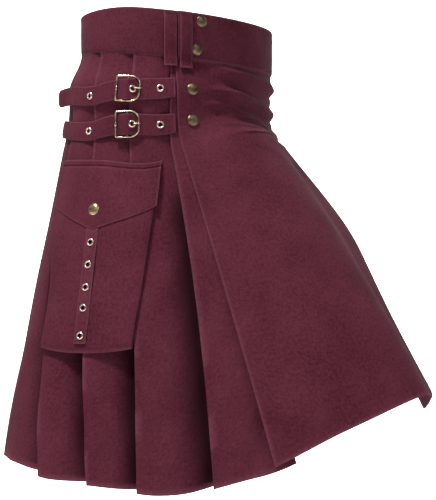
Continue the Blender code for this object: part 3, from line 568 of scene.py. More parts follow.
def strap_section(side, table, angle, out):
    """Upper and lower edges of a strap at an angle, bridging the cloth beneath it, and its way out."""
    down, _ = strap_reading(table, angle)
    place = around(side, angle)
    shares = np.linspace(-0.5, 0.5, 7)
    cloth = cloth_point(place, down + shares * STRAP_WIDTH, out)
    chord = cloth[0] + (shares + 0.5)[:, None] * (cloth[-1] - cloth[0])
    direction = outward(place, down)
    direction = direction / np.linalg.norm(direction)
    bridge = max(0.0, float(np.max((cloth - chord) @ direction)))
    return cloth[0] + bridge * direction, cloth[-1] + bridge * direction, direction


def strap_grid(side, table):
    """Edges, middles and normals of a strap's sections."""
    sections = [strap_section(side, table, row[0], STRAP_SEAT + row[2]) for row in table]
    tops, lows, outs = (np.array(part) for part in zip(*sections))
    middle = (tops + lows) / 2
    steps = np.diff(middle, axis=0)
    facets = np.cross(steps, (lows - tops)[:-1] + (lows - tops)[1:])
    facets = facets / np.linalg.norm(facets, axis=1, keepdims=True)
    facets = facets * np.sign(np.sum(facets * outs[:-1], axis=1))[:, None]
    before = np.vstack([facets[:1], facets])
    after = np.vstack([facets, facets[-1:]])
    normals = (before + after) / (1 + np.sum(before * after, axis=1))[:, None]
    return tops, lows, middle, normals, facets


def buckle_frame(side, table):
    """Origin on the cloth under the centre bar, and the directions out, back and across."""
    top, low, out = strap_section(side, table, BUCKLE_ANGLE, 0.0)
    ahead = strap_section(side, table, BUCKLE_ANGLE + 3.0, 0.0)
    behind = strap_section(side, table, BUCKLE_ANGLE - 3.0, 0.0)
    across = (low - top) / np.linalg.norm(low - top)
    back = (ahead[0] + ahead[1] - behind[0] - behind[1]) / 4
    back = back - np.dot(back, across) * across
    back = back / np.linalg.norm(back)
    normal = np.cross(back, across)
    normal = normal * np.sign(np.dot(normal, out))
    return (top + low) / 2, normal, back, across


def pocket_place(side, across, down):
    """Angle and distance down of a place on a pocket: across is positive towards the back."""
    level = POCKET_TOP + down + POCKET_SLANT * across
    centre = around(side, POCKET_ANGLE)
    return float(walk(centre, level, side * across)), level


def pocket_half(down):
    share = (down - POCKET_BODY_TOP) / (POCKET_BODY_BOTTOM - POCKET_BODY_TOP)
    return mix(POCKET_HALF_TOP, POCKET_HALF_BOTTOM, share)


# Meshes of the scene

def placed(name, mesh):
    """New object of a mesh, linked to the scene."""
    made = bpy.data.objects.new(name, mesh)
    bpy.context.scene.collection.objects.link(made)
    return made


def surface_mesh(name, grids, uv, wear_and_valley_shade):
    """Closed shell from an outer and an inner grid, with a cloth map in metres and a value that holds wear and,
    where negative, painted shade.
    """
    outer, inner = grids
    rows, columns = outer.shape[:2]
    first = np.arange(rows * columns).reshape(rows, columns)
    second = first + rows * columns
    cells = []
    for grid, turned in ((first, False), (second, True)):
        cell = [grid[:-1, :-1], grid[:-1, 1:], grid[1:, 1:], grid[1:, :-1]]
        cells.append(np.stack(cell[::-1] if turned else cell, axis=-1).reshape(-1, 4))
    ring = np.concatenate([first[0, :], first[1:, -1], first[-1, -2::-1], first[-2:0:-1, 0]])
    after = np.roll(ring, -1)
    shift = rows * columns
    cells.append(np.stack([after, ring, ring + shift, after + shift], axis=-1))
    faces = np.concatenate(cells)
    points = np.concatenate([outer.reshape(-1, 3), inner.reshape(-1, 3)])
    a, b, c = (points[faces[len(faces) // 4, k]] for k in (0, 1, 2))
    way = (outer - inner).reshape(-1, 3)[faces[len(faces) // 4, 0] % shift]
    if np.dot(np.cross(b - a, c - a), way) < 0:
        faces = faces[:, ::-1]
    mesh = bpy.data.meshes.new(name)
    mesh.from_pydata(points.tolist(), [], faces.tolist())
    maps = np.concatenate([uv.reshape(-1, 2), uv.reshape(-1, 2) + (0.37, 0.11)])
    corners = np.empty(len(mesh.loops), dtype=np.int32)
    mesh.loops.foreach_get("vertex_index", corners)
    layer = mesh.uv_layers.new(name="cloth_map")
    layer.data.foreach_set("uv", maps[corners].ravel())
    # The attribute holds wear and, where negative, painted shade; the inner shell gets half of it.
    tint = mesh.attributes.new(name="wear_and_valley_shade", type="FLOAT", domain="POINT")
    tint.data.foreach_set("value", np.concatenate([wear_and_valley_shade.ravel(), 0.5 * wear_and_valley_shade.ravel()]))
    mesh.shade_smooth()
    mesh.set_sharp_from_angle(angle=math.radians(SHARP_ANGLE))
    made = placed(name, mesh)
    return made


def lengths(grid):
    """Running lengths along the rows and down the columns of a grid, as a cloth map."""
    across = np.linalg.norm(np.diff(grid, axis=1), axis=2)
    down = np.linalg.norm(np.diff(grid, axis=0), axis=2)
    u = np.concatenate([np.zeros((grid.shape[0], 1)), np.cumsum(across, axis=1)], axis=1)
    v = np.concatenate([np.zeros((1, grid.shape[1])), np.cumsum(down, axis=0)], axis=0)
    u = u - u[:, [u.shape[1] // 2]]
    return np.stack([u, v], axis=-1), across, down


def edge_wear(uv_across, uv_down, reach):
    """Wear that is strongest on the borders of a piece."""
    u0 = uv_across - uv_across[:, [0]]
    u1 = uv_across[:, [-1]] - uv_across
    v0 = uv_down
    v1 = uv_down[[-1], :] - uv_down
    nearest = np.minimum(np.minimum(np.abs(u0), np.abs(u1)), np.minimum(v0, v1))
    return np.clip(1 - nearest / reach, 0, 1)


def cloth_piece(name, node, outer, inner, wear_and_valley_shade=None, reach=0.0022, kind="cloth"):
    """Shell of cloth that replaces a node; its cut size and area are worked out but not used."""
    middle = (outer + inner) / 2
    uv, across, down = lengths(middle)
    if wear_and_valley_shade is None:
        wear_and_valley_shade = edge_wear(uv[..., 0], uv[..., 1], reach)
    made = surface_mesh(name, (outer, inner), uv, wear_and_valley_shade)
    made.data.materials.append(MATERIAL[kind])
    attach(made, "root")
    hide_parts(node)
    width = float(np.max(np.sum(across, axis=1)))
    length = float(np.max(np.sum(down, axis=0)))
    quads = np.cross(middle[1:, 1:] - middle[:-1, :-1], middle[1:, :-1] - middle[:-1, 1:])
    area = float(np.sum(np.linalg.norm(quads, axis=2)) / 2)
    area = min(area, width * length)
    return made


def plain_piece(name, node, mesh_data, kind):
    """Hard piece that replaces a node."""
    bmesh.ops.recalc_face_normals(mesh_data, faces=mesh_data.faces)
    mesh = bpy.data.meshes.new(name)
    mesh_data.to_mesh(mesh)
    mesh_data.free()
    mesh.shade_smooth()
    mesh.set_sharp_from_angle(angle=math.radians(SHARP_ANGLE))
    mesh.materials.append(MATERIAL[kind])
    made = placed(name, mesh)
    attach(made, "root")
    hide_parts(node)
    return made


def add_lathe(mesh_data, profile, sides, origin, axis):
    axis = axis / np.linalg.norm(axis)
    side = np.cross(axis, (0.0, 0.0, 1.0))
    side = side / np.linalg.norm(side)
    other = np.cross(axis, side)
    rings = []
    for radius, height in profile:
        turns = 2 * math.pi * np.arange(sides) / sides
        if radius < 1e-6:
            centre = mesh_data.verts.new(origin + axis * height)
            rings.append([centre] * sides)
            continue
        spokes = np.cos(turns)[:, None] * side + np.sin(turns)[:, None] * other
        rings.append([mesh_data.verts.new(origin + axis * height + spoke * radius) for spoke in spokes])
    closed = profile[0][0] > 1e-6
    pairs = len(rings) if closed else len(rings) - 1
    for r in range(pairs):
        low, high = rings[r], rings[(r + 1) % len(rings)]
        for k in range(sides):
            n = (k + 1) % sides
            corners = []
            for vert in (low[k], low[n], high[n], high[k]):
                if vert not in corners:
                    corners.append(vert)
            if len(corners) > 2:
                mesh_data.faces.new(corners)


def add_tube(mesh_data, points, radii, sides, closed=False, up=(0.0, 0.0, 1.0)):
    points = np.array(points, float)
    radii = np.broadcast_to(radii, (len(points),))
    count = len(points)
    rings = []
    for k, point in enumerate(points):
        before = points[k - 1] if closed or k > 0 else point
        after = points[(k + 1) % count] if closed or k < count - 1 else point
        ahead = (after - before) / np.linalg.norm(after - before)
        side = np.cross(ahead, up)
        side = side / np.linalg.norm(side)
        other = np.cross(ahead, side)
        turns = 2 * math.pi * (np.arange(sides) + 0.5) / sides
        rings.append([mesh_data.verts.new(point + radii[k] * (math.cos(t) * side + math.sin(t) * other)) for t in turns])
    for k in range(count if closed else count - 1):
        low, high = rings[k], rings[(k + 1) % count]
        for j in range(sides):
            n = (j + 1) % sides
            mesh_data.faces.new((low[j], low[n], high[n], high[j]))
    if not closed:
        mesh_data.faces.new(rings[0])
        mesh_data.faces.new(rings[-1])


# Sewing thread

def add_stitches(points, normals, spacing=STITCH_SPACING):
    """Row of stitches along points on the cloth; they are gathered for one piece at the end."""
    points, normals = np.array(points, float), np.array(normals, float)
    steps = np.linalg.norm(np.diff(points, axis=0), axis=1)
    places = np.concatenate([[0.0], np.cumsum(steps)])
    count = int(places[-1] / spacing)
    for k in range(count):
        ends = []
        for place in (k * spacing + 0.0004, (k + 1) * spacing - 0.0005):
            ends.append(np.array([np.interp(place, places, points[:, a]) for a in range(3)]))
        normal = np.array([np.interp(k * spacing, places, normals[:, a]) for a in range(3)])
        STITCHES.append((ends[0], ends[1], normal / np.linalg.norm(normal)))


def stitch_on_cloth(angles, downs, outs, spacing=STITCH_SPACING):
    angles, downs, outs = np.broadcast_arrays(np.asarray(angle_array(angles)), np.asarray(downs, float),
                                              np.asarray(outs, float))
    points = cloth_point(angles, downs, outs)
    normals = outward(angles, downs)
    add_stitches(points, normals, spacing)


def angle_array(values):
    return np.asarray(values, float)


def make_stitching(name):
    """One mesh of every stitch laid so far, each a small tapered thread."""
    points, faces = [], []
    for start, end, normal in STITCHES:
        ahead = end - start
        side = np.cross(ahead, normal)
        side = side / np.linalg.norm(side) * THREAD_WIDTH / 2
        middle = (start + end) / 2
        base = len(points)
        sunk = normal * THREAD_SUNK
        points += [start - sunk, end - sunk, middle + side - sunk * 0.3, middle - side - sunk * 0.3,
                   start + ahead * 0.25 + normal * THREAD_RISE, end - ahead * 0.25 + normal * THREAD_RISE]
        faces += [(base, base + 2, base + 4), (base + 2, base + 5, base + 4),
                  (base + 2, base + 1, base + 5),
                  (base, base + 4, base + 3), (base + 3, base + 4, base + 5), (base + 3, base + 5,
                                                                               base + 1),
                  (base, base + 3, base + 1, base + 2)]
    mesh = bpy.data.meshes.new(name)
    mesh.from_pydata([tuple(p) for p in points], [], faces)
    mesh.shade_smooth()
    mesh.materials.append(MATERIAL["thread"])
    made = placed(name, mesh)
    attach(made, "root")
    STITCHES.clear()
    return made


# Materials

def node_group(name):
    made = bpy.data.materials.new(name)
    made.use_nodes = True
    tree = made.node_tree
    shader = tree.nodes["Principled BSDF"]
    return made, tree, shader


def add_node(tree, kind, inputs=(), **settings):
    made = tree.nodes.new(kind)
    for key, value in settings.items():
        setattr(made, key, value)
    for key, value in inputs:
        socket = made.inputs[key]
        if isinstance(value, bpy.types.NodeSocket):
            tree.links.new(value, socket)
        else:
            socket.default_value = value
    return made


def cloth_material(name, dark, light, worn, weave_depth, roughness):
    """Twill: mottled colour, a diagonal rib, yarns, lighter wear on edges, and painted shade where the wear value
    is negative.
    """
    made, tree, shader = node_group(name)
    uv = add_node(tree, "ShaderNodeUVMap", uv_map="cloth_map").outputs["UV"]
    place = add_node(tree, "ShaderNodeTexCoord").outputs["Object"]
    blotch = add_node(tree, "ShaderNodeTexNoise", [("Vector", place), ("Scale", 16.0), ("Detail", 5.0),
                                                   ("Roughness", 0.62)]).outputs["Fac"]
    speck = add_node(tree, "ShaderNodeTexNoise", [("Vector", uv), ("Scale", 260.0), ("Detail", 3.0),
                                                  ("Roughness", 0.7)]).outputs["Fac"]
    slub_place = add_node(tree, "ShaderNodeMapping", [("Vector", uv), ("Scale", (900.0, 120.0, 1.0))])
    slub = add_node(tree, "ShaderNodeTexNoise", [("Vector", slub_place.outputs["Vector"]), ("Scale", 1.0),
                                                 ("Detail", 2.0)]).outputs["Fac"]
    first = add_node(tree, "ShaderNodeMath", [(0, blotch), (1, 0.55)], operation="MULTIPLY").outputs[0]
    second = add_node(tree, "ShaderNodeMath", [(0, speck), (1, 0.75), (2, first)],
                      operation="MULTIPLY_ADD").outputs[0]
    third = add_node(tree, "ShaderNodeMath", [(0, slub), (1, 0.35), (2, second)],
                     operation="MULTIPLY_ADD").outputs[0]
    share = add_node(tree, "ShaderNodeMapRange",
                     [("Value", third), ("From Min", 0.62), ("From Max", 1.05)]).outputs[0]
    tone = add_node(tree, "ShaderNodeMix", data_type="RGBA")
    set_mix(tree, tone, share, (*dark, 1.0), (*light, 1.0))
    wear_and_valley_shade = add_node(tree, "ShaderNodeAttribute", attribute_name="wear_and_valley_shade").outputs["Fac"]
    rough_wear = add_node(tree, "ShaderNodeMath", [(0, wear_and_valley_shade), (1, speck)], operation="MULTIPLY").outputs[0]
    worn_share = add_node(tree, "ShaderNodeMath", [(0, rough_wear), (1, 1.1)], operation="MULTIPLY",
                          use_clamp=True).outputs[0]
    # Negative values of the attribute are painted shade: they darken the pleat valleys towards a near-black
    # colour.
    valley_shade_share = add_node(tree, "ShaderNodeMath", [(0, wear_and_valley_shade), (1, -1.0)], operation="MULTIPLY",
                    use_clamp=True).outputs[0]
    shaded = add_node(tree, "ShaderNodeMix", data_type="RGBA")
    set_mix(tree, shaded, valley_shade_share, mix_output(tone), (*PAINTED_SHADE_COLOUR, 1.0))
    final = add_node(tree, "ShaderNodeMix", data_type="RGBA")
    set_mix(tree, final, worn_share, mix_output(shaded), (*worn, 1.0))
    tree.links.new(mix_output(final), shader.inputs["Base Color"])
    shader.inputs["Roughness"].default_value = roughness
    shader.inputs["Sheen Weight"].default_value = CLOTH_SHEEN
    shader.inputs["Sheen Roughness"].default_value = 0.45
    shader.inputs["Sheen Tint"].default_value = (*SHEEN_TINT, 1.0)
    shader.inputs["Specular IOR Level"].default_value = CLOTH_GLOSS
    turned = add_node(tree, "ShaderNodeMapping", [("Vector", uv), ("Rotation", (0.0, 0.0, TWILL_SLANT))])
    rib = add_node(tree, "ShaderNodeTexWave", [("Vector", turned.outputs["Vector"]), ("Scale", TWILL_RIBS),
                                               ("Distortion", 1.2), ("Detail", 1.5), ("Detail Scale", 2.0)],
                   wave_type="BANDS", bands_direction="X").outputs["Fac"]
    height = add_node(tree, "ShaderNodeMath", [(0, speck), (1, 0.9), (2, rib)],
                      operation="MULTIPLY_ADD").outputs[0]
    bump = add_node(tree, "ShaderNodeBump",
                    [("Strength", 0.5), ("Distance", weave_depth), ("Height", height)])
    tree.links.new(bump.outputs["Normal"], shader.inputs["Normal"])
    return made


def set_mix(tree, node, factor, first, second):
    """Sets the colour sockets of a mix node, which share names with its other kinds."""
    sockets = [s for s in node.inputs if s.enabled]
    for socket, value in zip(sockets, (factor, first, second)):
        if isinstance(value, bpy.types.NodeSocket):
            tree.links.new(value, socket)
        else:
            socket.default_value = value


def mix_output(node):
    return next(s for s in node.outputs if s.enabled)


def metal_material(name, dark, light, rough_low, rough_high):
    made, tree, shader = node_group(name)
    place = add_node(tree, "ShaderNodeTexCoord").outputs["Object"]
    grain = add_node(tree, "ShaderNodeTexNoise",
                     [("Vector", place), ("Scale", 160.0), ("Detail", 3.0)]).outputs["Fac"]
    tone = add_node(tree, "ShaderNodeMix", data_type="RGBA")
    share = add_node(tree, "ShaderNodeMapRange",
                     [("Value", grain), ("From Min", 0.35), ("From Max", 0.68)]).outputs[0]
    set_mix(tree, tone, share, (*dark, 1.0), (*light, 1.0))
    tree.links.new(mix_output(tone), shader.inputs["Base Color"])
    rough = add_node(tree, "ShaderNodeMapRange",
                     [("Value", grain), ("To Min", rough_low), ("To Max", rough_high)])
    tree.links.new(rough.outputs[0], shader.inputs["Roughness"])
    shader.inputs["Metallic"].default_value = 1.0
    bump = add_node(tree, "ShaderNodeBump", [("Strength", 0.25), ("Distance", 0.0001), ("Height", grain)])
    tree.links.new(bump.outputs["Normal"], shader.inputs["Normal"])
    return made


# Pleated skirt

def soften(line, radius):
    """Polyline with its corners rounded by short curves."""
    line = np.asarray(line, float)
    out = [line[0]]
    for k in range(1, len(line) - 1):
        before, here, after = line[k - 1], line[k], line[k + 1]
        back, ahead = np.linalg.norm(here - before), np.linalg.norm(after - here)
        a = here + (before - here) * min(radius / back, 0.45)
        b = here + (after - here) * min(radius / ahead, 0.45)
        out += [a, (a + 2 * here + b) / 4, b]
    out.append(line[-1])
    return np.array(out)


def face_profile(edge, width, first, second, end):
    """Smooth face of a pleat through its fold, two places on it and its far end."""
    knots_s = np.array([edge, first[0], second[0], edge + width])
    knots_h = np.array([0.0, first[1], second[1], end])
    slopes = np.gradient(knots_h, knots_s)
    slopes[0] = min(0.0, (knots_h[1] - knots_h[0]) / (knots_s[1] - knots_s[0])) * 0.6
    points = []
    for share in np.linspace(0.0, 1.0, FACE_COLUMNS)[1:-1]:
        s = edge + width * share
        k = int(np.clip(np.searchsorted(knots_s, s) - 1, 0, 2))
        span = knots_s[k + 1] - knots_s[k]
        t = (s - knots_s[k]) / span
        h = (knots_h[k] * (1 + 2 * t) * (1 - t) ** 2 + slopes[k] * span * t * (1 - t) ** 2
             + knots_h[k + 1] * t * t * (3 - 2 * t) + slopes[k + 1] * span * t * t * (t - 1))
        points.append((s, h))
    return points


def fine_section(down, side):
    """Middle line of the cloth on one side, with rounded folds and curved faces."""
    angles = np.linspace(180.0, 0.0, 361)
    points = envelope(side * angles, down)
    runs = np.linalg.norm(np.diff(points, axis=0), axis=1)
    places = np.concatenate([[0.0], np.cumsum(runs)])

    def place(angle):
        return float(np.interp(-angle, -angles, places))

    opening = pleat_opening(down)
    step = mix(PLEAT_STEP_TOP, PLEAT_STEP_HEM, opening)
    depth = mix(PLEAT_DEPTH_TOP, PLEAT_DEPTH_HEM, opening)
    extra = step - PLEAT_STEP_TOP
    edges = [place(pleat_angle(n, down, side)) for n in range(len(PLEATS) - 1, -1, -1)]
    edges = [BACK_EDGE_GAP + CLOTH / 2] + edges
    line = []
    for number, edge in enumerate(edges):
        last = number == len(edges) - 1
        here = depth * (LAST_PLEAT_DEPTH if last else 1.0)
        fold = [(edge + here * 0.5, -step), (edge + here, -step), (edge + here, -step + LAYER),
                (edge + here * 0.5, mix(-step + LAYER, -LAYER, 0.5)), (edge, -LAYER), (edge, 0.0)]
        if last:
            end = place(LAST_FACE_ANGLE + (LEFT_SHIFT if side < 0 else 0.0))
            fall = LAST_FACE_STEP * opening
            tail = [(mix(edge, end, u), -fall * u ** 1.25) for u in np.linspace(0, 1, 9)[1:]]
            line += fold + tail
            break
        width = edges[number + 1] - edge
        first = (edge + mix(depth / 2, width * 0.25, opening), -extra * 0.10)
        second = (edge + mix(depth + 0.002, width * 0.52, opening), -extra * 0.32)
        line += fold + face_profile(edge, width, first, second, -step) + [(edge + width, -step)]
    rounded = soften(line, FOLD_RADIUS)
    wave = SKIRT_WAVE * opening
    s, h = rounded[:, 0], rounded[:, 1]
    lift = 0.5 + 0.5 * np.sin(s * 95.0 + down * 9.0 + side * 1.3) * np.cos(s * 41.0 - down * 14.0)
    dent = 0.5 + 0.5 * np.sin(down * 31.0 + s * 23.0 + side * 2.1)
    h = h - wave * lift * (0.6 + 0.4 * dent)
    # Positive values are wear on the fold edges; the negative part is painted shade that darkens the valleys by
    # their depth in the fold.
    near_fold = np.min(np.abs(s[:, None] - np.array(edges)[None, :]), axis=1)
    fold_wear_and_valley_shade = np.clip(1 - near_fold / 0.0022, 0, 1) * (h > -0.4 * LAYER)
    fold_wear_and_valley_shade = fold_wear_and_valley_shade - VALLEY_SHADE * smooth_step((-h / step - 0.25) / 0.75) * smooth_step(opening * 6)
    return np.stack([s, h], axis=1), (places, angles), fold_wear_and_valley_shade, (edges[-1], edges[-1] + 0.02)


def make_skirt():
    downs = np.concatenate([np.linspace(0.0, SKIRT_TOP, SKIRT_TOP_ROWS)[:-1],
                            np.linspace(SKIRT_TOP, SKIRT_LENGTH, SKIRT_LOW_ROWS)])
    outer, inner, wear_and_valley_shade = [], [], []
    for down in downs:
        halves = {side: fine_section(down, side) for side in (-1, 1)}
        right, left = halves[1], halves[-1]
        whole = np.concatenate([left[0][::-1] * (-1, 1), right[0]])
        fold_wear_and_valley_shade = np.concatenate([left[2][::-1], right[2]])
        drop_from = side_section(down, 1)[0][-4][0]
        drop_to = side_section(down, 1)[0][-1][0]
        rows = []
        for moved in (offset_line(whole, CLOTH / 2), offset_line(whole, -CLOTH / 2)):
            s = moved[:, 0]
            on_right = np.interp(np.abs(s), right[1][0], right[1][1])
            on_left = -np.interp(np.abs(s), left[1][0], left[1][1])
            angle = np.where(s >= 0, on_right, on_left)
            longer = np.where(s >= 0, LAST_FACE_DROP, -LEFT_HEM_RISE)
            longer = longer * smooth_step((np.abs(s) - drop_from) / (drop_to - drop_from))
            sway = HEM_SWAY * (down / SKIRT_LENGTH) ** 3 * np.sin(s * 37.0 + 0.8)
            rows.append(cloth_point(angle, down + longer * down / SKIRT_LENGTH + sway, moved[:, 1]))
        outer.append(rows[0])
        inner.append(rows[1])
        # Each row keeps the fold-edge wear and the painted valley shade of its section.
        wear_and_valley_shade.append(fold_wear_and_valley_shade)
    lowered = np.array([0.0, 0.0, -GAP])
    wear_and_valley_shade = np.array(wear_and_valley_shade)
    wear_and_valley_shade[-1] = 1.0
    return cloth_piece("cloth_pleats", "pleated_skirt", np.array(outer) + lowered,
                       np.array(inner) + lowered,
                       wear_and_valley_shade=wear_and_valley_shade)


# Aprons and bands

def soft_relief(angle, down):
    """Slight unevenness of pressed cloth, always into the garment."""
    across = np.asarray(angle) * WRINKLE_MM_PER_DEGREE / 1000
    return -SOFT_RELIEF * (
        1.0 + 0.45 * np.sin(across * 61.0 + down * 23.0 + 0.4) + 0.35 * np.sin(across * 17.0 - down * 47.0 + 1.9)
        + 0.20 * np.sin(across * 113.0 + down * 71.0 + 3.1))


def fine_wrinkles(angle, down):
    """Thin creases beside the large ones, from FINE_WRINKLES."""
    relief = np.zeros(np.broadcast(angle, down).shape)
    across = np.asarray(angle) * WRINKLE_MM_PER_DEGREE / 1000
    for angle_1, down_1, angle_2, down_2, bow, height, half_width in FINE_WRINKLES:
        start = np.array([angle_1 * WRINKLE_MM_PER_DEGREE / 1000, down_1])
        end = np.array([angle_2 * WRINKLE_MM_PER_DEGREE / 1000, down_2])
        run = end - start
        length = np.linalg.norm(run)
        run = run / length
        along = (across - start[0]) * run[0] + (down - start[1]) * run[1]
        aside = (across - start[0]) * -run[1] + (down - start[1]) * run[0]
        aside = aside - bow * np.sin(np.pi * np.clip(along / length, 0, 1))
        fade = smooth_step(along / (0.3 * length)) * smooth_step((length - along) / (0.3 * length))
        relief = relief + height * fade * np.exp(-(aside / half_width) ** 2)
    return relief


def apron_surface(angle, down):
    hem = smooth_step((down - 0.20) / 0.3)
    ripple = HEM_RIPPLE * hem * (0.5 + 0.5 * np.sin(np.asarray(angle) * 0.115 + 0.6))
    relief = apron_out(angle, down) + fine_wrinkles(angle, down) + soft_relief(angle, down)
    bulge = THIGH_BULGE * np.exp(-((down - THIGH_DOWN) / THIGH_REACH) ** 2) * smooth_step(-np.asarray(angle) / 40)
    bulge = bulge * (1 - 0.6 * smooth_step((-np.asarray(angle) - 50) / 8))
    return np.maximum(relief - ripple * 0.4, APRON_OUT - 0.0004 - 0.004 * hem) + bulge


def make_fine_apron():
    downs = np.concatenate([np.linspace(0.0, APRON_TOP, APRON_TOP_ROWS)[:-1],
                            np.linspace(APRON_TOP, SKIRT_LENGTH, APRON_LOW_ROWS)])[:, None]
    shares = np.linspace(0.0, 1.0, APRON_FINE_COLUMNS)[None, :]
    angles = mix(apron_edge(downs), -apron_edge(downs) - LEFT_SHIFT, shares)
    downs = downs + 0.0 * shares
    lowered = np.array([0.0, 0.0, -GAP])
    outs = apron_surface(angles, downs)
    fall = downs - APRON_CORNER_RISE * smooth_step((-angles - 46) / 12) * (downs / SKIRT_LENGTH) ** 2
    outer = cloth_point(angles, fall, outs + CLOTH / 2) + lowered
    inner = cloth_point(angles, fall, outs - CLOTH / 2) + lowered
    cloth_piece("cloth_apron", "apron", outer, inner, reach=0.0026)
    edge_down = np.linspace(0.004, SKIRT_LENGTH - 0.006, 120)
    for inset in APRON_STITCH_INSETS:
        for edge, sign in ((apron_edge(edge_down), 1), (-apron_edge(edge_down) - LEFT_SHIFT, -1)):
            level = np.linalg.norm(envelope(edge + 0.5, edge_down) - envelope(edge - 0.5, edge_down),
                                   axis=1)
            angle = edge - sign * inset / level
            stitch_on_cloth(angle, edge_down, apron_surface(angle, edge_down) + CLOTH / 2 + THREAD_LIFT)
    for rise in HEM_STITCH_RISES:
        edge = apron_edge(SKIRT_LENGTH - rise)
        angle = np.linspace(edge - 1.5, -edge - LEFT_SHIFT + 1.5, 160)
        down = np.full(angle.shape, SKIRT_LENGTH - rise)
        stitch_on_cloth(angle, down, apron_surface(angle, down) + CLOTH / 2 + THREAD_LIFT)


def make_fine_under_apron():
    length = SKIRT_LENGTH - UNDER_APRON_SHORTER
    downs = np.linspace(0.0, length, 50)[:, None]
    angles = np.linspace(UNDER_APRON_SPAN[0], UNDER_APRON_SPAN[1], 61)[None, :]
    opening = np.clip((downs - PLEATS_OPEN_FROM) / (SKIRT_LENGTH - PLEATS_OPEN_FROM), 0, 1)
    outs = mix(UNDER_APRON_OUT[0], UNDER_APRON_OUT[1], opening)
    angles, downs, outs = np.broadcast_arrays(angles, downs, outs)
    lowered = np.array([0.0, 0.0, -GAP])
    cloth_piece("cloth_under_apron", "under_apron", cloth_point(angles, downs, outs + CLOTH / 2) + lowered,
                cloth_point(angles, downs, outs - CLOTH / 2) + lowered)


def band_swell(down, angle):
    """Slight fullness between the band's sewn edges, with puckers at the top."""
    share = -np.asarray(down) / BAND_HEIGHT
    full = BAND_SWELL * np.sin(np.pi * np.clip(share, 0, 1)) ** 0.6
    top = np.exp(-((share - 0.93) / 0.09) ** 2) + 0.35 * np.exp(-((share - 0.05) / 0.10) ** 2)
    pucker = BAND_PUCKER * top * (np.sin(np.asarray(angle) * 1.9 + share * 3) + 0.6 * np.sin(np.asarray(angle) * 3.3 + 1))
    return full + pucker


def make_fine_band(name, node, start, end, out):
    columns = int(abs(end - start) / 1.0) + 2
    angles = np.linspace(start, end, columns)[None, :]
    downs = np.linspace(-BAND_HEIGHT, 0.0, 25)[:, None]
    angles, downs = np.broadcast_arrays(angles, downs)
    swell = band_swell(downs, angles)
    round_edge = np.clip(np.minimum(-downs, BAND_HEIGHT + downs) / 0.0012, 0, 1) ** 0.5
    outer = cloth_point(angles, downs, out + BAND_WALL / 2 * (0.4 + 0.6 * round_edge) + swell)
    inner = cloth_point(angles, downs, out - BAND_WALL / 2)
    cloth_piece(name, node, outer, inner)
    for down in BAND_STITCH_DOWNS:
        line = np.linspace(start + 1.0, end - 1.0, columns * 2)
        stitch_on_cloth(line, np.full(line.shape, down),
                        out + BAND_WALL / 2 + band_swell(down, line) + THREAD_LIFT)


def make_fine_loop(node, angle, base_out, below_seam, skirt_out):
    seated = base_out + GAP + LOOP_WALL / 2
    foot = skirt_out + GAP + LOOP_WALL / 2
    downs = [-BAND_HEIGHT + 0.0005, -BAND_HEIGHT + 0.0060, -BAND_HEIGHT + 0.0130, -BAND_HEIGHT * 0.45,
             -0.0060,
             0.0030, below_seam - 0.0040, below_seam]
    outs = [seated, seated, seated + LOOP_STAND_OFF * 0.8, seated + LOOP_STAND_OFF,
            seated + LOOP_STAND_OFF * 0.7,
            max(seated, foot + 0.0012), foot + 0.0012, foot + 0.0012]
    line = soften(np.stack([downs, outs], axis=1), 0.004)
    fine = np.linspace(0, len(line) - 1, 46)
    downs = np.interp(fine, np.arange(len(line)), line[:, 0])[:, None]
    outs = np.interp(fine, np.arange(len(line)), line[:, 1])[:, None]
    spread = np.linspace(-1, 1, 15)
    edges = np.array([walk(angle, -BAND_HEIGHT / 2, s) for s in spread * LOOP_WIDTH / 2])[None, :]
    full = np.clip((1 - np.abs(spread) ** 6), 0, 1)[None, :] ** 0.5
    angles, downs, outs, full = np.broadcast_arrays(edges, downs, outs, full)
    crown = 0.0003 * (1 - spread[None, :] ** 2)
    outer = cloth_point(angles, downs, outs + LOOP_WALL / 2 * (0.35 + 0.65 * full) + crown)
    inner = cloth_point(angles, downs, outs - LOOP_WALL / 2 * (0.35 + 0.65 * full))
    cloth_piece("cloth_" + node, node, outer, inner, reach=0.003)
    for shift in (-LOOP_STITCH_INSET, LOOP_STITCH_INSET):
        side = float(walk(angle, -BAND_HEIGHT / 2, shift))
        stitch_on_cloth(np.full(46, side), downs[:, 0], outs[:, 0] + LOOP_WALL / 2 + THREAD_LIFT + 0.0002)


# Straps, buckles and tabs

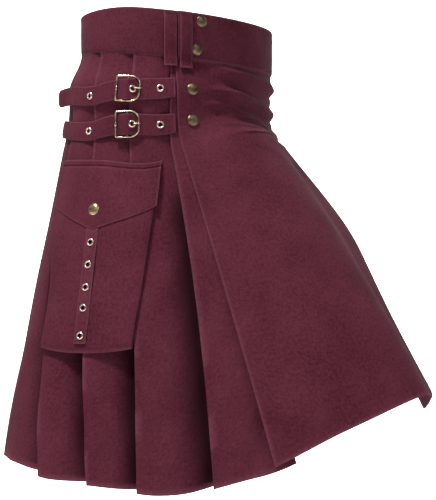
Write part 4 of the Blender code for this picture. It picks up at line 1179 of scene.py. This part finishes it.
def make_fine_strap(side, side_name, place, table):
    tops, lows, middle, normals, facets = strap_grid(side, table)
    node = f"{side_name}_strap_{place}"
    joined = np.concatenate([tops, lows, normals], axis=1)
    rounded = []
    spans = np.linalg.norm(np.diff(middle, axis=0), axis=1)
    for k in range(len(joined)):
        if 0 < k < len(joined) - 1:
            a = joined[k] + (joined[k - 1] - joined[k]) * min(STRAP_BEND / spans[k - 1], 0.4)
            b = joined[k] + (joined[k + 1] - joined[k]) * min(STRAP_BEND / spans[k], 0.4)
            rounded += [a, (a + 2 * joined[k] + b) / 4, b]
        else:
            rounded.append(joined[k])
        if k < len(joined) - 1:
            shares = (0.42, 0.5, 0.58) if k else (0.25, 0.5)
            if k == len(joined) - 2:
                shares = (0.42, 0.5, 0.58, 0.66, 0.74, 0.82, 0.89, 0.95, 0.985)
            for share in shares:
                rounded.append(mix(joined[k], joined[k + 1], share))
    rounded = np.array(rounded)
    tops, lows, normals = rounded[:, 0:3], rounded[:, 3:6], rounded[:, 6:9]
    normals = normals / np.linalg.norm(normals, axis=1, keepdims=True)
    spread = np.linspace(0, 1, 17)
    full = np.clip(1 - np.abs(2 * spread - 1) ** 8, 0, 1) ** 0.5
    centres = (tops + lows) / 2
    to_tip = np.linalg.norm(centres - centres[-1], axis=1)
    past = np.clip(1 - to_tip / TIP_CORNER, 0, 1)
    cut = (TIP_CORNER * (1 - np.sqrt(1 - past ** 2)) * 0.999 / STRAP_WIDTH)[None, :, None]
    middles = tops[None] + mix(cut, 1 - cut, spread[:, None, None]) * (lows - tops)[None]
    half = (0.35 + 0.65 * full)[:, None, None] * normals[None] * STRAP_WALL / 2
    strap = cloth_piece("cloth_" + node, node, middles + half, middles - half,
                        reach=0.0025)
    angles = np.array([row[0] for row in table])
    cutters = []
    for eyelet, angle in STRAP_EYELETS:
        k = int(np.searchsorted(angles, angle)) - 1
        share = (angle - angles[k]) / (angles[k + 1] - angles[k])
        centre = mix(middle[k], middle[k + 1], share)
        cutters.append((centre, facets[k]))
        seat = centre + facets[k] * (STRAP_WALL / 2 + GAP)
        make_fine_eyelet(f"{side_name}_eyelet_{place}_{eyelet}", seat, facets[k])
    cut_holes(strap, cutters, STRAP_WALL)
    count = len(tops)
    for share in STRAP_STITCH_SHARES:
        line = tops + share * (lows - tops) + normals * (STRAP_WALL / 2 + THREAD_LIFT)
        add_stitches(line, normals)
    for k in (2, count - 3):
        shares = np.linspace(0.10, 0.90, 12)[:, None]
        line = tops[k] + shares * (lows[k] - tops[k]) + normals[k] * (STRAP_WALL / 2 + THREAD_LIFT)
        add_stitches(line, np.repeat(normals[k][None], 12, axis=0))


def cut_holes(target, places, depth):
    """Round holes through a piece, worked out at once so that no cutter is left."""
    for centre, axis in places:
        cutter_data = bmesh.new()
        add_lathe(cutter_data, ((0.0, -depth), (EYELET_HOLE, -depth), (EYELET_HOLE, depth), (0.0, depth)),
                  28,
                  centre, axis)
        bmesh.ops.recalc_face_normals(cutter_data, faces=cutter_data.faces)
        mesh = bpy.data.meshes.new("cutter")
        cutter_data.to_mesh(mesh)
        cutter_data.free()
        cutter = bpy.data.objects.new("cutter", mesh)
        bpy.context.scene.collection.objects.link(cutter)
        change = target.modifiers.new("hole", "BOOLEAN")
        change.operation = "DIFFERENCE"
        change.object = cutter
        change.solver = "EXACT"
        graph = bpy.context.evaluated_depsgraph_get()
        done = bpy.data.meshes.new_from_object(target.evaluated_get(graph))
        target.modifiers.clear()
        target.data = done
        bpy.data.objects.remove(cutter, do_unlink=True)


def make_fine_eyelet(node, seat, axis):
    data = bmesh.new()
    add_lathe(data, FINE_EYELET, 40, seat, axis)
    plain_piece("metal_" + node, node, data, "nickel")


def make_fine_snap(node, angle, down, surface_out, kind="brass"):
    origin, axis = place_on(angle, down, surface_out)
    reach = SNAP_PROFILE[3][0]
    turns = np.radians(np.arange(0.0, 360.0, 30.0))
    level = np.linalg.norm(envelope(angle + 0.5, down) - envelope(angle - 0.5, down))
    rim = cloth_point(angle + np.cos(turns) * reach / level, down + np.sin(turns) * reach, surface_out)
    lift = max(0.0, float(np.max((rim - origin) @ axis)))
    data = bmesh.new()
    add_lathe(data, FINE_SNAP, 48, origin + axis * (lift + GAP), axis)
    plain_piece("metal_" + node, node, data, kind)


def fine_outline():
    half, corner = BUCKLE_HALF_WIDTH, ROUND_CORNER
    small = 0.0016
    points = []
    for flip in (-1, 1):
        turns = (90, 45, 0) if flip > 0 else (0, 45, 90)
        arc = []
        for turn in np.radians(turns):
            arc.append((BUCKLE_BAR_S - small + small * math.cos(turn),
                        flip * (half - small + small * math.sin(turn))))
        points += arc[::-1] if flip > 0 else arc[::-1]
        if flip < 0:
            points += [(BUCKLE_BAR_S, w) for w in np.linspace(-half, half, 9)[1:-1] * 0.85]
    front = []
    for flip, turns in ((1, range(90, 181, 10)), (-1, range(180, 89, -10))):
        for turn in turns:
            angle = math.radians(turn)
            s = BUCKLE_CURVE_S + corner + corner * math.cos(angle)
            front.append((s, flip * (half - corner + corner * math.sin(angle))))
    return points + front


def make_fine_buckle(side, side_name, place, table):
    origin, out, back, across = buckle_frame(side, table)

    def at(s, o, w=0.0):
        return origin + back * s + out * o + across * w

    def plane(s):
        return BUCKLE_OUT + BUCKLE_RISE * s / BUCKLE_BAR_S

    data = bmesh.new()
    add_tube(data, [at(s, plane(s), w) for s, w in fine_outline()], BUCKLE_WIRE, 14, closed=True, up=out)
    reach = BUCKLE_HALF_WIDTH
    add_tube(data, [at(0.0, plane(0.0), w) for w in np.linspace(-reach, reach, 9)], CENTRE_BAR_RADIUS, 12,
             up=out)
    knob = [at(BUCKLE_BAR_S, plane(BUCKLE_BAR_S), w) for w in (-0.0026, -0.0020, -0.0008, 0.0008, 0.0020,
                                                               0.0026)]
    add_tube(data, knob, [0.0011, 0.0015, 0.0017, 0.0017, 0.0015, 0.0011], 14, up=out)
    route = soften(soften([at(s, o) for s, o in PRONG_ROUTE], 0.002), 0.001)
    radii = np.full(len(route), PRONG_RADIUS)
    radii[-3:] = (PRONG_RADIUS * 0.9, PRONG_RADIUS * 0.75, PRONG_RADIUS * 0.45)
    add_tube(data, route, radii, 12, up=across)
    ring = [at(CENTRE_BAR_RADIUS * 1.5 * math.cos(t), plane(0.0) + CENTRE_BAR_RADIUS * 1.5 * math.sin(t))
            for t in np.radians(np.arange(0, 360, 24))]
    add_tube(data, ring, 0.0006, 8, closed=True, up=across)
    plain_piece(f"metal_{side_name}_buckle_{place}", f"{side_name}_buckle_{place}", data, "old_nickel")


def make_fine_tab(side, side_name, place, table):
    origin, out, back, across = buckle_frame(side, table)
    grids = []
    turns = range(TAB_HOOK_TURNS[0], TAB_HOOK_TURNS[-1] - 1, -12)
    for turned in (-1, 1):
        line, ways = [], []
        for angle in np.linspace(TAB_TAIL_ANGLES[0], TAB_TAIL_ANGLES[-1], 14):
            top, low, way = strap_section(side, table, angle, TAB_TAIL_OUT)
            line.append((top + low) / 2 + way * turned * TAB_WALL / 2)
            ways.append((low - top) / np.linalg.norm(low - top))
        radius = TAB_HOOK_RADIUS - turned * TAB_WALL / 2
        for turn in turns:
            angle = math.radians(turn)
            line.append(origin + back * radius * math.cos(angle) + out * (BUCKLE_OUT + radius * math.sin(angle)))
            ways.append(across)
        spread = np.array([-1.0, -0.75, -0.5, -0.25, -TAB_SLOT / TAB_HALF_WIDTH])
        for k, reach in enumerate((spread, -spread[::-1])):
            grid = np.array(line)[None] + (reach * TAB_HALF_WIDTH)[:, None, None] * np.array(ways)[None]
            grids.append(grid)
    node = f"{side_name}_buckle_tab_{place}"
    for k, name in ((0, "cloth_" + node + "_a"), (1, "cloth_" + node + "_b")):
        cloth_piece(name, node, grids[k], grids[2 + k], kind="webbing")


# Cargo pockets

def pocket_points(side, across, down, out):
    """Points of many places on a pocket at once."""
    across, down, out = np.broadcast_arrays(*(np.asarray(v, float) for v in (across, down, out)))
    shape = across.shape
    across, down, out = across.ravel(), down.ravel(), out.ravel()
    level = POCKET_TOP + down + POCKET_SLANT * across
    centre = around(side, POCKET_ANGLE)
    reach = np.max(np.abs(across)) / 0.0015 + 2.0
    steps = np.linspace(-reach, reach, 161)
    path = envelope(centre + steps[:, None], level[None, :])
    runs = np.cumsum(np.linalg.norm(np.diff(path, axis=0), axis=2), axis=0)
    places = np.concatenate([np.zeros((1, len(level))), runs])
    places = places - places[80]
    angle = centre + np.array([np.interp(side * across[k], places[:, k], steps) for k in range(len(level))])
    return cloth_point(angle, level, out).reshape(*shape, 3)


def pocket_relief(across, down):
    """Soft hollows of the pocket's front, deeper towards its lower corners."""
    hollow = 0.5 + 0.5 * np.sin(across * 58.0 + down * 21.0 + 0.7)
    fold = 0.5 + 0.5 * np.sin(across * 33.0 - down * 52.0 + 2.2)
    return -POCKET_HOLLOW * (0.55 * hollow + 0.45 * fold) * smooth_step((down - 0.09) / 0.07)


def make_fine_pocket_body(side, side_name):
    shares = np.linspace(0.0, 1.0, POCKET_FINE_ROWS)
    xs = np.linspace(-1.0, 1.0, 45)
    grids = []
    for inset, drop in ((0.0, 0.0), (CLOTH, CLOTH)):
        across_rows, down_rows, out_rows = [], [], []
        for share in shares:
            low = POCKET_BODY_BOTTOM - drop + POCKET_SAG * (1 - xs ** 2)
            down = mix(POCKET_BODY_TOP, low, share)
            half = pocket_half(down) - inset
            proud = POCKET_PROUD - (CLOTH if inset else 0.0)
            rim = np.minimum((1 - np.abs(xs)) * half, (1 - share) * 0.22)
            rounding = POCKET_ROUND * (1 - np.clip(rim / POCKET_ROUND, 0, 1)) ** 2
            out = proud - rounding + pocket_relief(xs * half, down)
            ends = [(0, POCKET_SEAT), (0, mix(POCKET_SEAT, proud, 0.5))]
            across_rows.append(np.concatenate([[xs[0] * half[0]] * 2, xs * half, [xs[-1] * half[-1]] * 2]))
            down_rows.append(np.concatenate([[down[0]] * 2, down, [down[-1]] * 2]))
            out_rows.append(np.concatenate([[o for _, o in ends], out, [o for _, o in ends[::-1]]]))
        for level in (0.5, 0.0):
            across_rows.append(across_rows[-1])
            down_rows.append(down_rows[-1])
            out_rows.append(mix(POCKET_SEAT, POCKET_PROUD - (CLOTH if inset else 0) - POCKET_ROUND, level)
                            + 0 * out_rows[-1] if level else POCKET_SEAT + 0 * out_rows[-1])
        across, down, out = np.array(across_rows), np.array(down_rows), np.array(out_rows)
        out[-2] = np.minimum(out[-2], out[-3])
        grids.append(pocket_points(side, across, down, out))
    node = f"{side_name}_pocket"
    body = cloth_piece("cloth_" + node, node, grids[0], grids[1], reach=0.003)
    down = np.linspace(POCKET_BODY_TOP + 0.001, POCKET_BODY_BOTTOM - 0.004, 90)
    for sign in (-1, 1):
        across = sign * (pocket_half(down) - POCKET_STITCH_INSET)
        sew_on_pocket(side, across, down, POCKET_PROUD + pocket_relief(across, down))
    across = np.linspace(-1, 1, 90)
    down = POCKET_BODY_BOTTOM - POCKET_HEM_RISE + POCKET_SAG * (1 - across ** 2)
    across = across * (pocket_half(down) - 0.002)
    sew_on_pocket(side, across, down, POCKET_PROUD + pocket_relief(across, down))
    return body


def sew_on_pocket(side, across, down, out):
    points = pocket_points(side, across, down, out + THREAD_LIFT)
    ahead = pocket_points(side, across, down, out + 0.002)
    add_stitches(points, ahead - points)


def flap_surface(across, share):
    """Distance down and out of the flap at a share of its length."""
    low = flap_bottom(across)
    down = share * low
    knots = np.array([row[0] for row in FLAP_ROWS[:6]])
    outs = np.array([row[2] for row in FLAP_ROWS[:6]])
    smooth = np.interp(down, knots, outs)
    bulge = FLAP_BULGE * np.exp(-((share - 0.6) / 0.3) ** 2) * (1 - (across / FLAP_HALF) ** 2)
    dent = -0.0005 * np.exp(-((down - FLAP_DENT[1]) / 0.012) ** 2 - ((across - FLAP_DENT[0]) / 0.014) ** 2)
    return down, smooth + bulge + dent


def make_fine_flap(side, side_name):
    xs = np.linspace(-1, 1, 61)[None, :]
    shares = np.concatenate([np.linspace(0, 0.2, 22)[:-1], np.linspace(0.2, 1, 34)])[:, None]
    across = xs * FLAP_HALF
    down, out = flap_surface(across, shares)
    across = across + 0 * down
    rim = np.minimum((1 - np.abs(xs)) * FLAP_HALF, (1 - shares) * 0.07) + 0 * down
    full = np.clip(rim / 0.0014, 0, 1) ** 0.5
    outer = pocket_points(side, across, down, out + CLOTH / 2 * (0.2 + 0.8 * full))
    inner = pocket_points(side, across, down, out - CLOTH / 2)
    node = f"{side_name}_pocket_flap"
    cloth_piece("cloth_" + node, node, outer, inner, reach=0.0028)
    line = np.linspace(-1, 1, 120) * (FLAP_HALF - FLAP_STITCH_INSET)
    down, out = flap_surface(line, 1 - FLAP_STITCH_INSET / 0.075)
    sew_on_pocket(side, line, down, out + CLOTH / 2)
    for sign in (-1, 1):
        share = np.linspace(0.16, 0.93, 30)
        edge = np.full(30, sign * (FLAP_HALF - FLAP_STITCH_INSET))
        down, out = flap_surface(edge, share)
        sew_on_pocket(side, edge, down, out + CLOTH / 2)
    for level in (0.0014, 0.0094):
        line = np.linspace(-1, 1, 120) * (FLAP_HALF - 0.002)
        down, out = flap_surface(line, level / flap_bottom(line))
        sew_on_pocket(side, line, down, out + CLOTH / 2)


def flap_bottom(across):
    return mix(FLAP_TIP, FLAP_CORNER, np.abs(across) / FLAP_HALF)


def make_fine_strip(side, side_name):
    out = POCKET_PROUD + GAP
    xs = np.linspace(-1, 1, 13)[None, :]
    shares = np.linspace(0, 1, 60)[:, None]
    across = xs * STRIP_HALF
    top = flap_bottom(across) + 0.0008
    down = mix(top, STRIP_BOTTOM, shares)
    across = across + 0 * down
    full = np.clip((1 - np.abs(xs)) * STRIP_HALF / 0.0014, 0, 1) ** 0.5 + 0 * down
    outer = pocket_points(side, across, down, out + CLOTH * (0.3 + 0.7 * full))
    inner = pocket_points(side, across, down, out + 0 * full)
    node = f"{side_name}_pocket_strip"
    strip = cloth_piece("cloth_" + node, node, outer, inner, reach=0.0025,
                        kind="webbing")
    for sign in (-1, 1):
        line = np.linspace(FLAP_TIP + 0.002, STRIP_BOTTOM - 0.002, 60)
        sew_on_pocket(side, np.full(60, sign * (STRIP_HALF - 0.0016)), line, np.full(60, out + CLOTH))
    return strip


def make_fine_pocket(side, side_name):
    body = make_fine_pocket_body(side, side_name)
    make_fine_flap(side, side_name)
    strip = make_fine_strip(side, side_name)
    places = []
    for number, down in enumerate(POCKET_EYELETS, start=1):
        angle, level = pocket_place(side, 0.0, down)
        seat, axis = place_on(angle, level, POCKET_PROUD + GAP + CLOTH + GAP)
        places.append((seat, axis))
        make_fine_eyelet(f"{side_name}_pocket_eyelet_{number}", seat, axis)
    cut_holes(strip, places, 2.5 * CLOTH)
    cut_holes(body, places, 3.2 * CLOTH)
    angle, level = pocket_place(side, 0.0, POCKET_SNAP_DOWN)
    make_fine_snap(f"{side_name}_snap_pocket", angle, level, POCKET_PROUD + GAP + CLOTH, "bright_brass")


# Camera, light and backdrop

def make_camera():
    scene = bpy.context.scene
    azimuth, elevation = math.radians(CAMERA_AZIMUTH), math.radians(CAMERA_ELEVATION)
    back = Vector((math.sin(azimuth) * math.cos(elevation), -math.cos(azimuth) * math.cos(elevation),
                   math.sin(elevation)))
    right = Vector((math.cos(azimuth), math.sin(azimuth), 0.0))
    place = Matrix((right, back.cross(right), back)).transposed().to_4x4()
    place.translation = Vector(CAMERA_PLACE)
    lens = bpy.data.cameras.new("camera")
    lens.sensor_fit = "VERTICAL"
    lens.sensor_height = SENSOR_HEIGHT
    lens.lens = CAMERA_LENS
    lens.clip_start = 0.05
    made = bpy.data.objects.new("camera", lens)
    made.matrix_world = place
    scene.collection.objects.link(made)
    scene.camera = made
    return place


def make_lights(place):
    scene = bpy.context.scene
    for name, aside, up, back, size, power, colour in LIGHTS:
        lamp = bpy.data.lights.new(name, "AREA")
        lamp.shape = "DISK"
        lamp.size = size
        lamp.energy = power
        lamp.color = colour
        made = bpy.data.objects.new(name, lamp)
        spot = Vector(SUBJECT) + place.to_3x3() @ Vector((aside, up, back))
        made.location = spot
        made.rotation_euler = (Vector(SUBJECT) - spot).to_track_quat("-Z", "Y").to_euler()
        scene.collection.objects.link(made)
    world = bpy.data.worlds.new("studio")
    world.use_nodes = True
    shade = world.node_tree.nodes["Background"]
    shade.inputs["Color"].default_value = (1.0, 1.0, 1.0, 1.0)
    shade.inputs["Strength"].default_value = WORLD_STRENGTH
    scene.world = world
    scene.view_settings.view_transform = "Standard"


def stage_card(name, corners, glow):
    mesh = bpy.data.meshes.new(name)
    mesh.from_pydata([tuple(corner) for corner in corners], [], [(0, 1, 2, 3)])
    made, tree, shader = node_group(name)
    shader.inputs["Base Color"].default_value = (0.85, 0.85, 0.85, 1.0)
    shader.inputs["Roughness"].default_value = 1.0
    shader.inputs["Emission Color"].default_value = (1.0, 1.0, 1.0, 1.0)
    shader.inputs["Emission Strength"].default_value = glow
    mesh.materials.append(made)
    card = bpy.data.objects.new(name, mesh)
    bpy.context.scene.collection.objects.link(card)


def make_backdrop(place):
    """Pale floor, and a white card behind the kilt as the camera sees it."""
    half = BACKDROP_HALF
    stage_card("floor", [(x, y, BACKDROP_HEIGHT) for x, y in ((-half, -half), (half, -half), (half, half),
                                                              (-half, half))], FLOOR_GLOW)
    right = place.to_3x3() @ Vector((1.0, 0.0, 0.0))
    middle = Vector(SUBJECT) - place.to_3x3() @ Vector((0.0, 0.0, CARD_BACK))
    corners = []
    for across, top in ((-1, 0), (1, 0), (1, 1), (-1, 1)):
        corner = middle + right * CARD_HALF * across
        corner.z = BACKDROP_HEIGHT + top * CARD_HALF
        corners.append(corner)
    stage_card("card", corners, CARD_GLOW)


def build():
    make_skirt()
    make_fine_under_apron()
    make_fine_apron()
    make_fine_band("cloth_band_body", "waistband_body", BAND_BODY_ENDS[0], BAND_BODY_ENDS[1], 0.0)
    make_fine_band("cloth_band_front", "waistband_front", -BAND_FRONT_EDGE - LEFT_SHIFT, BAND_FRONT_EDGE,
                   BAND_FRONT_OUT)
    for loop in LOOPS:
        make_fine_loop(*loop)
    for side, side_name in ((1, "right"), (-1, "left")):
        for name, angle, down, surface_out in FRONT_SNAPS:
            angle = around(side, angle)
            if surface_out is None:
                surface_out = float(apron_out(angle, down)) + CLOTH / 2
            make_fine_snap(f"{side_name}_{name}", angle, down, surface_out)
        for place, table in STRAPS:
            make_fine_strap(side, side_name, place, table)
            make_fine_buckle(side, side_name, place, table)
            make_fine_tab(side, side_name, place, table)
        make_fine_pocket(side, side_name)
    make_stitching("stitching")


MATERIAL = {
    "cloth": cloth_material("maroon_twill", CLOTH_DARK, CLOTH_LIGHT, CLOTH_WORN, 0.00022, 0.88),
    "webbing": cloth_material("maroon_webbing", WEB_DARK, WEB_LIGHT, CLOTH_WORN, 0.00030, 0.84),
    "thread": cloth_material("maroon_thread", THREAD_DARK, THREAD_LIGHT, CLOTH_WORN, 0.00010, 0.70),
    "brass": metal_material("antique_brass", BRASS_DARK, BRASS_LIGHT, 0.24, 0.46),
    "bright_brass": metal_material("worn_brass", BRIGHT_DARK, BRIGHT_LIGHT, 0.20, 0.38),
    "nickel": metal_material("pale_nickel", NICKEL_DARK, NICKEL_LIGHT, 0.16, 0.34),
    "old_nickel": metal_material("old_nickel", BUCKLE_DARK, BUCKLE_LIGHT, 0.14, 0.34),
}
STITCHES = []
camera_place = make_camera()
make_lights(camera_place)
make_backdrop(camera_place)
build()
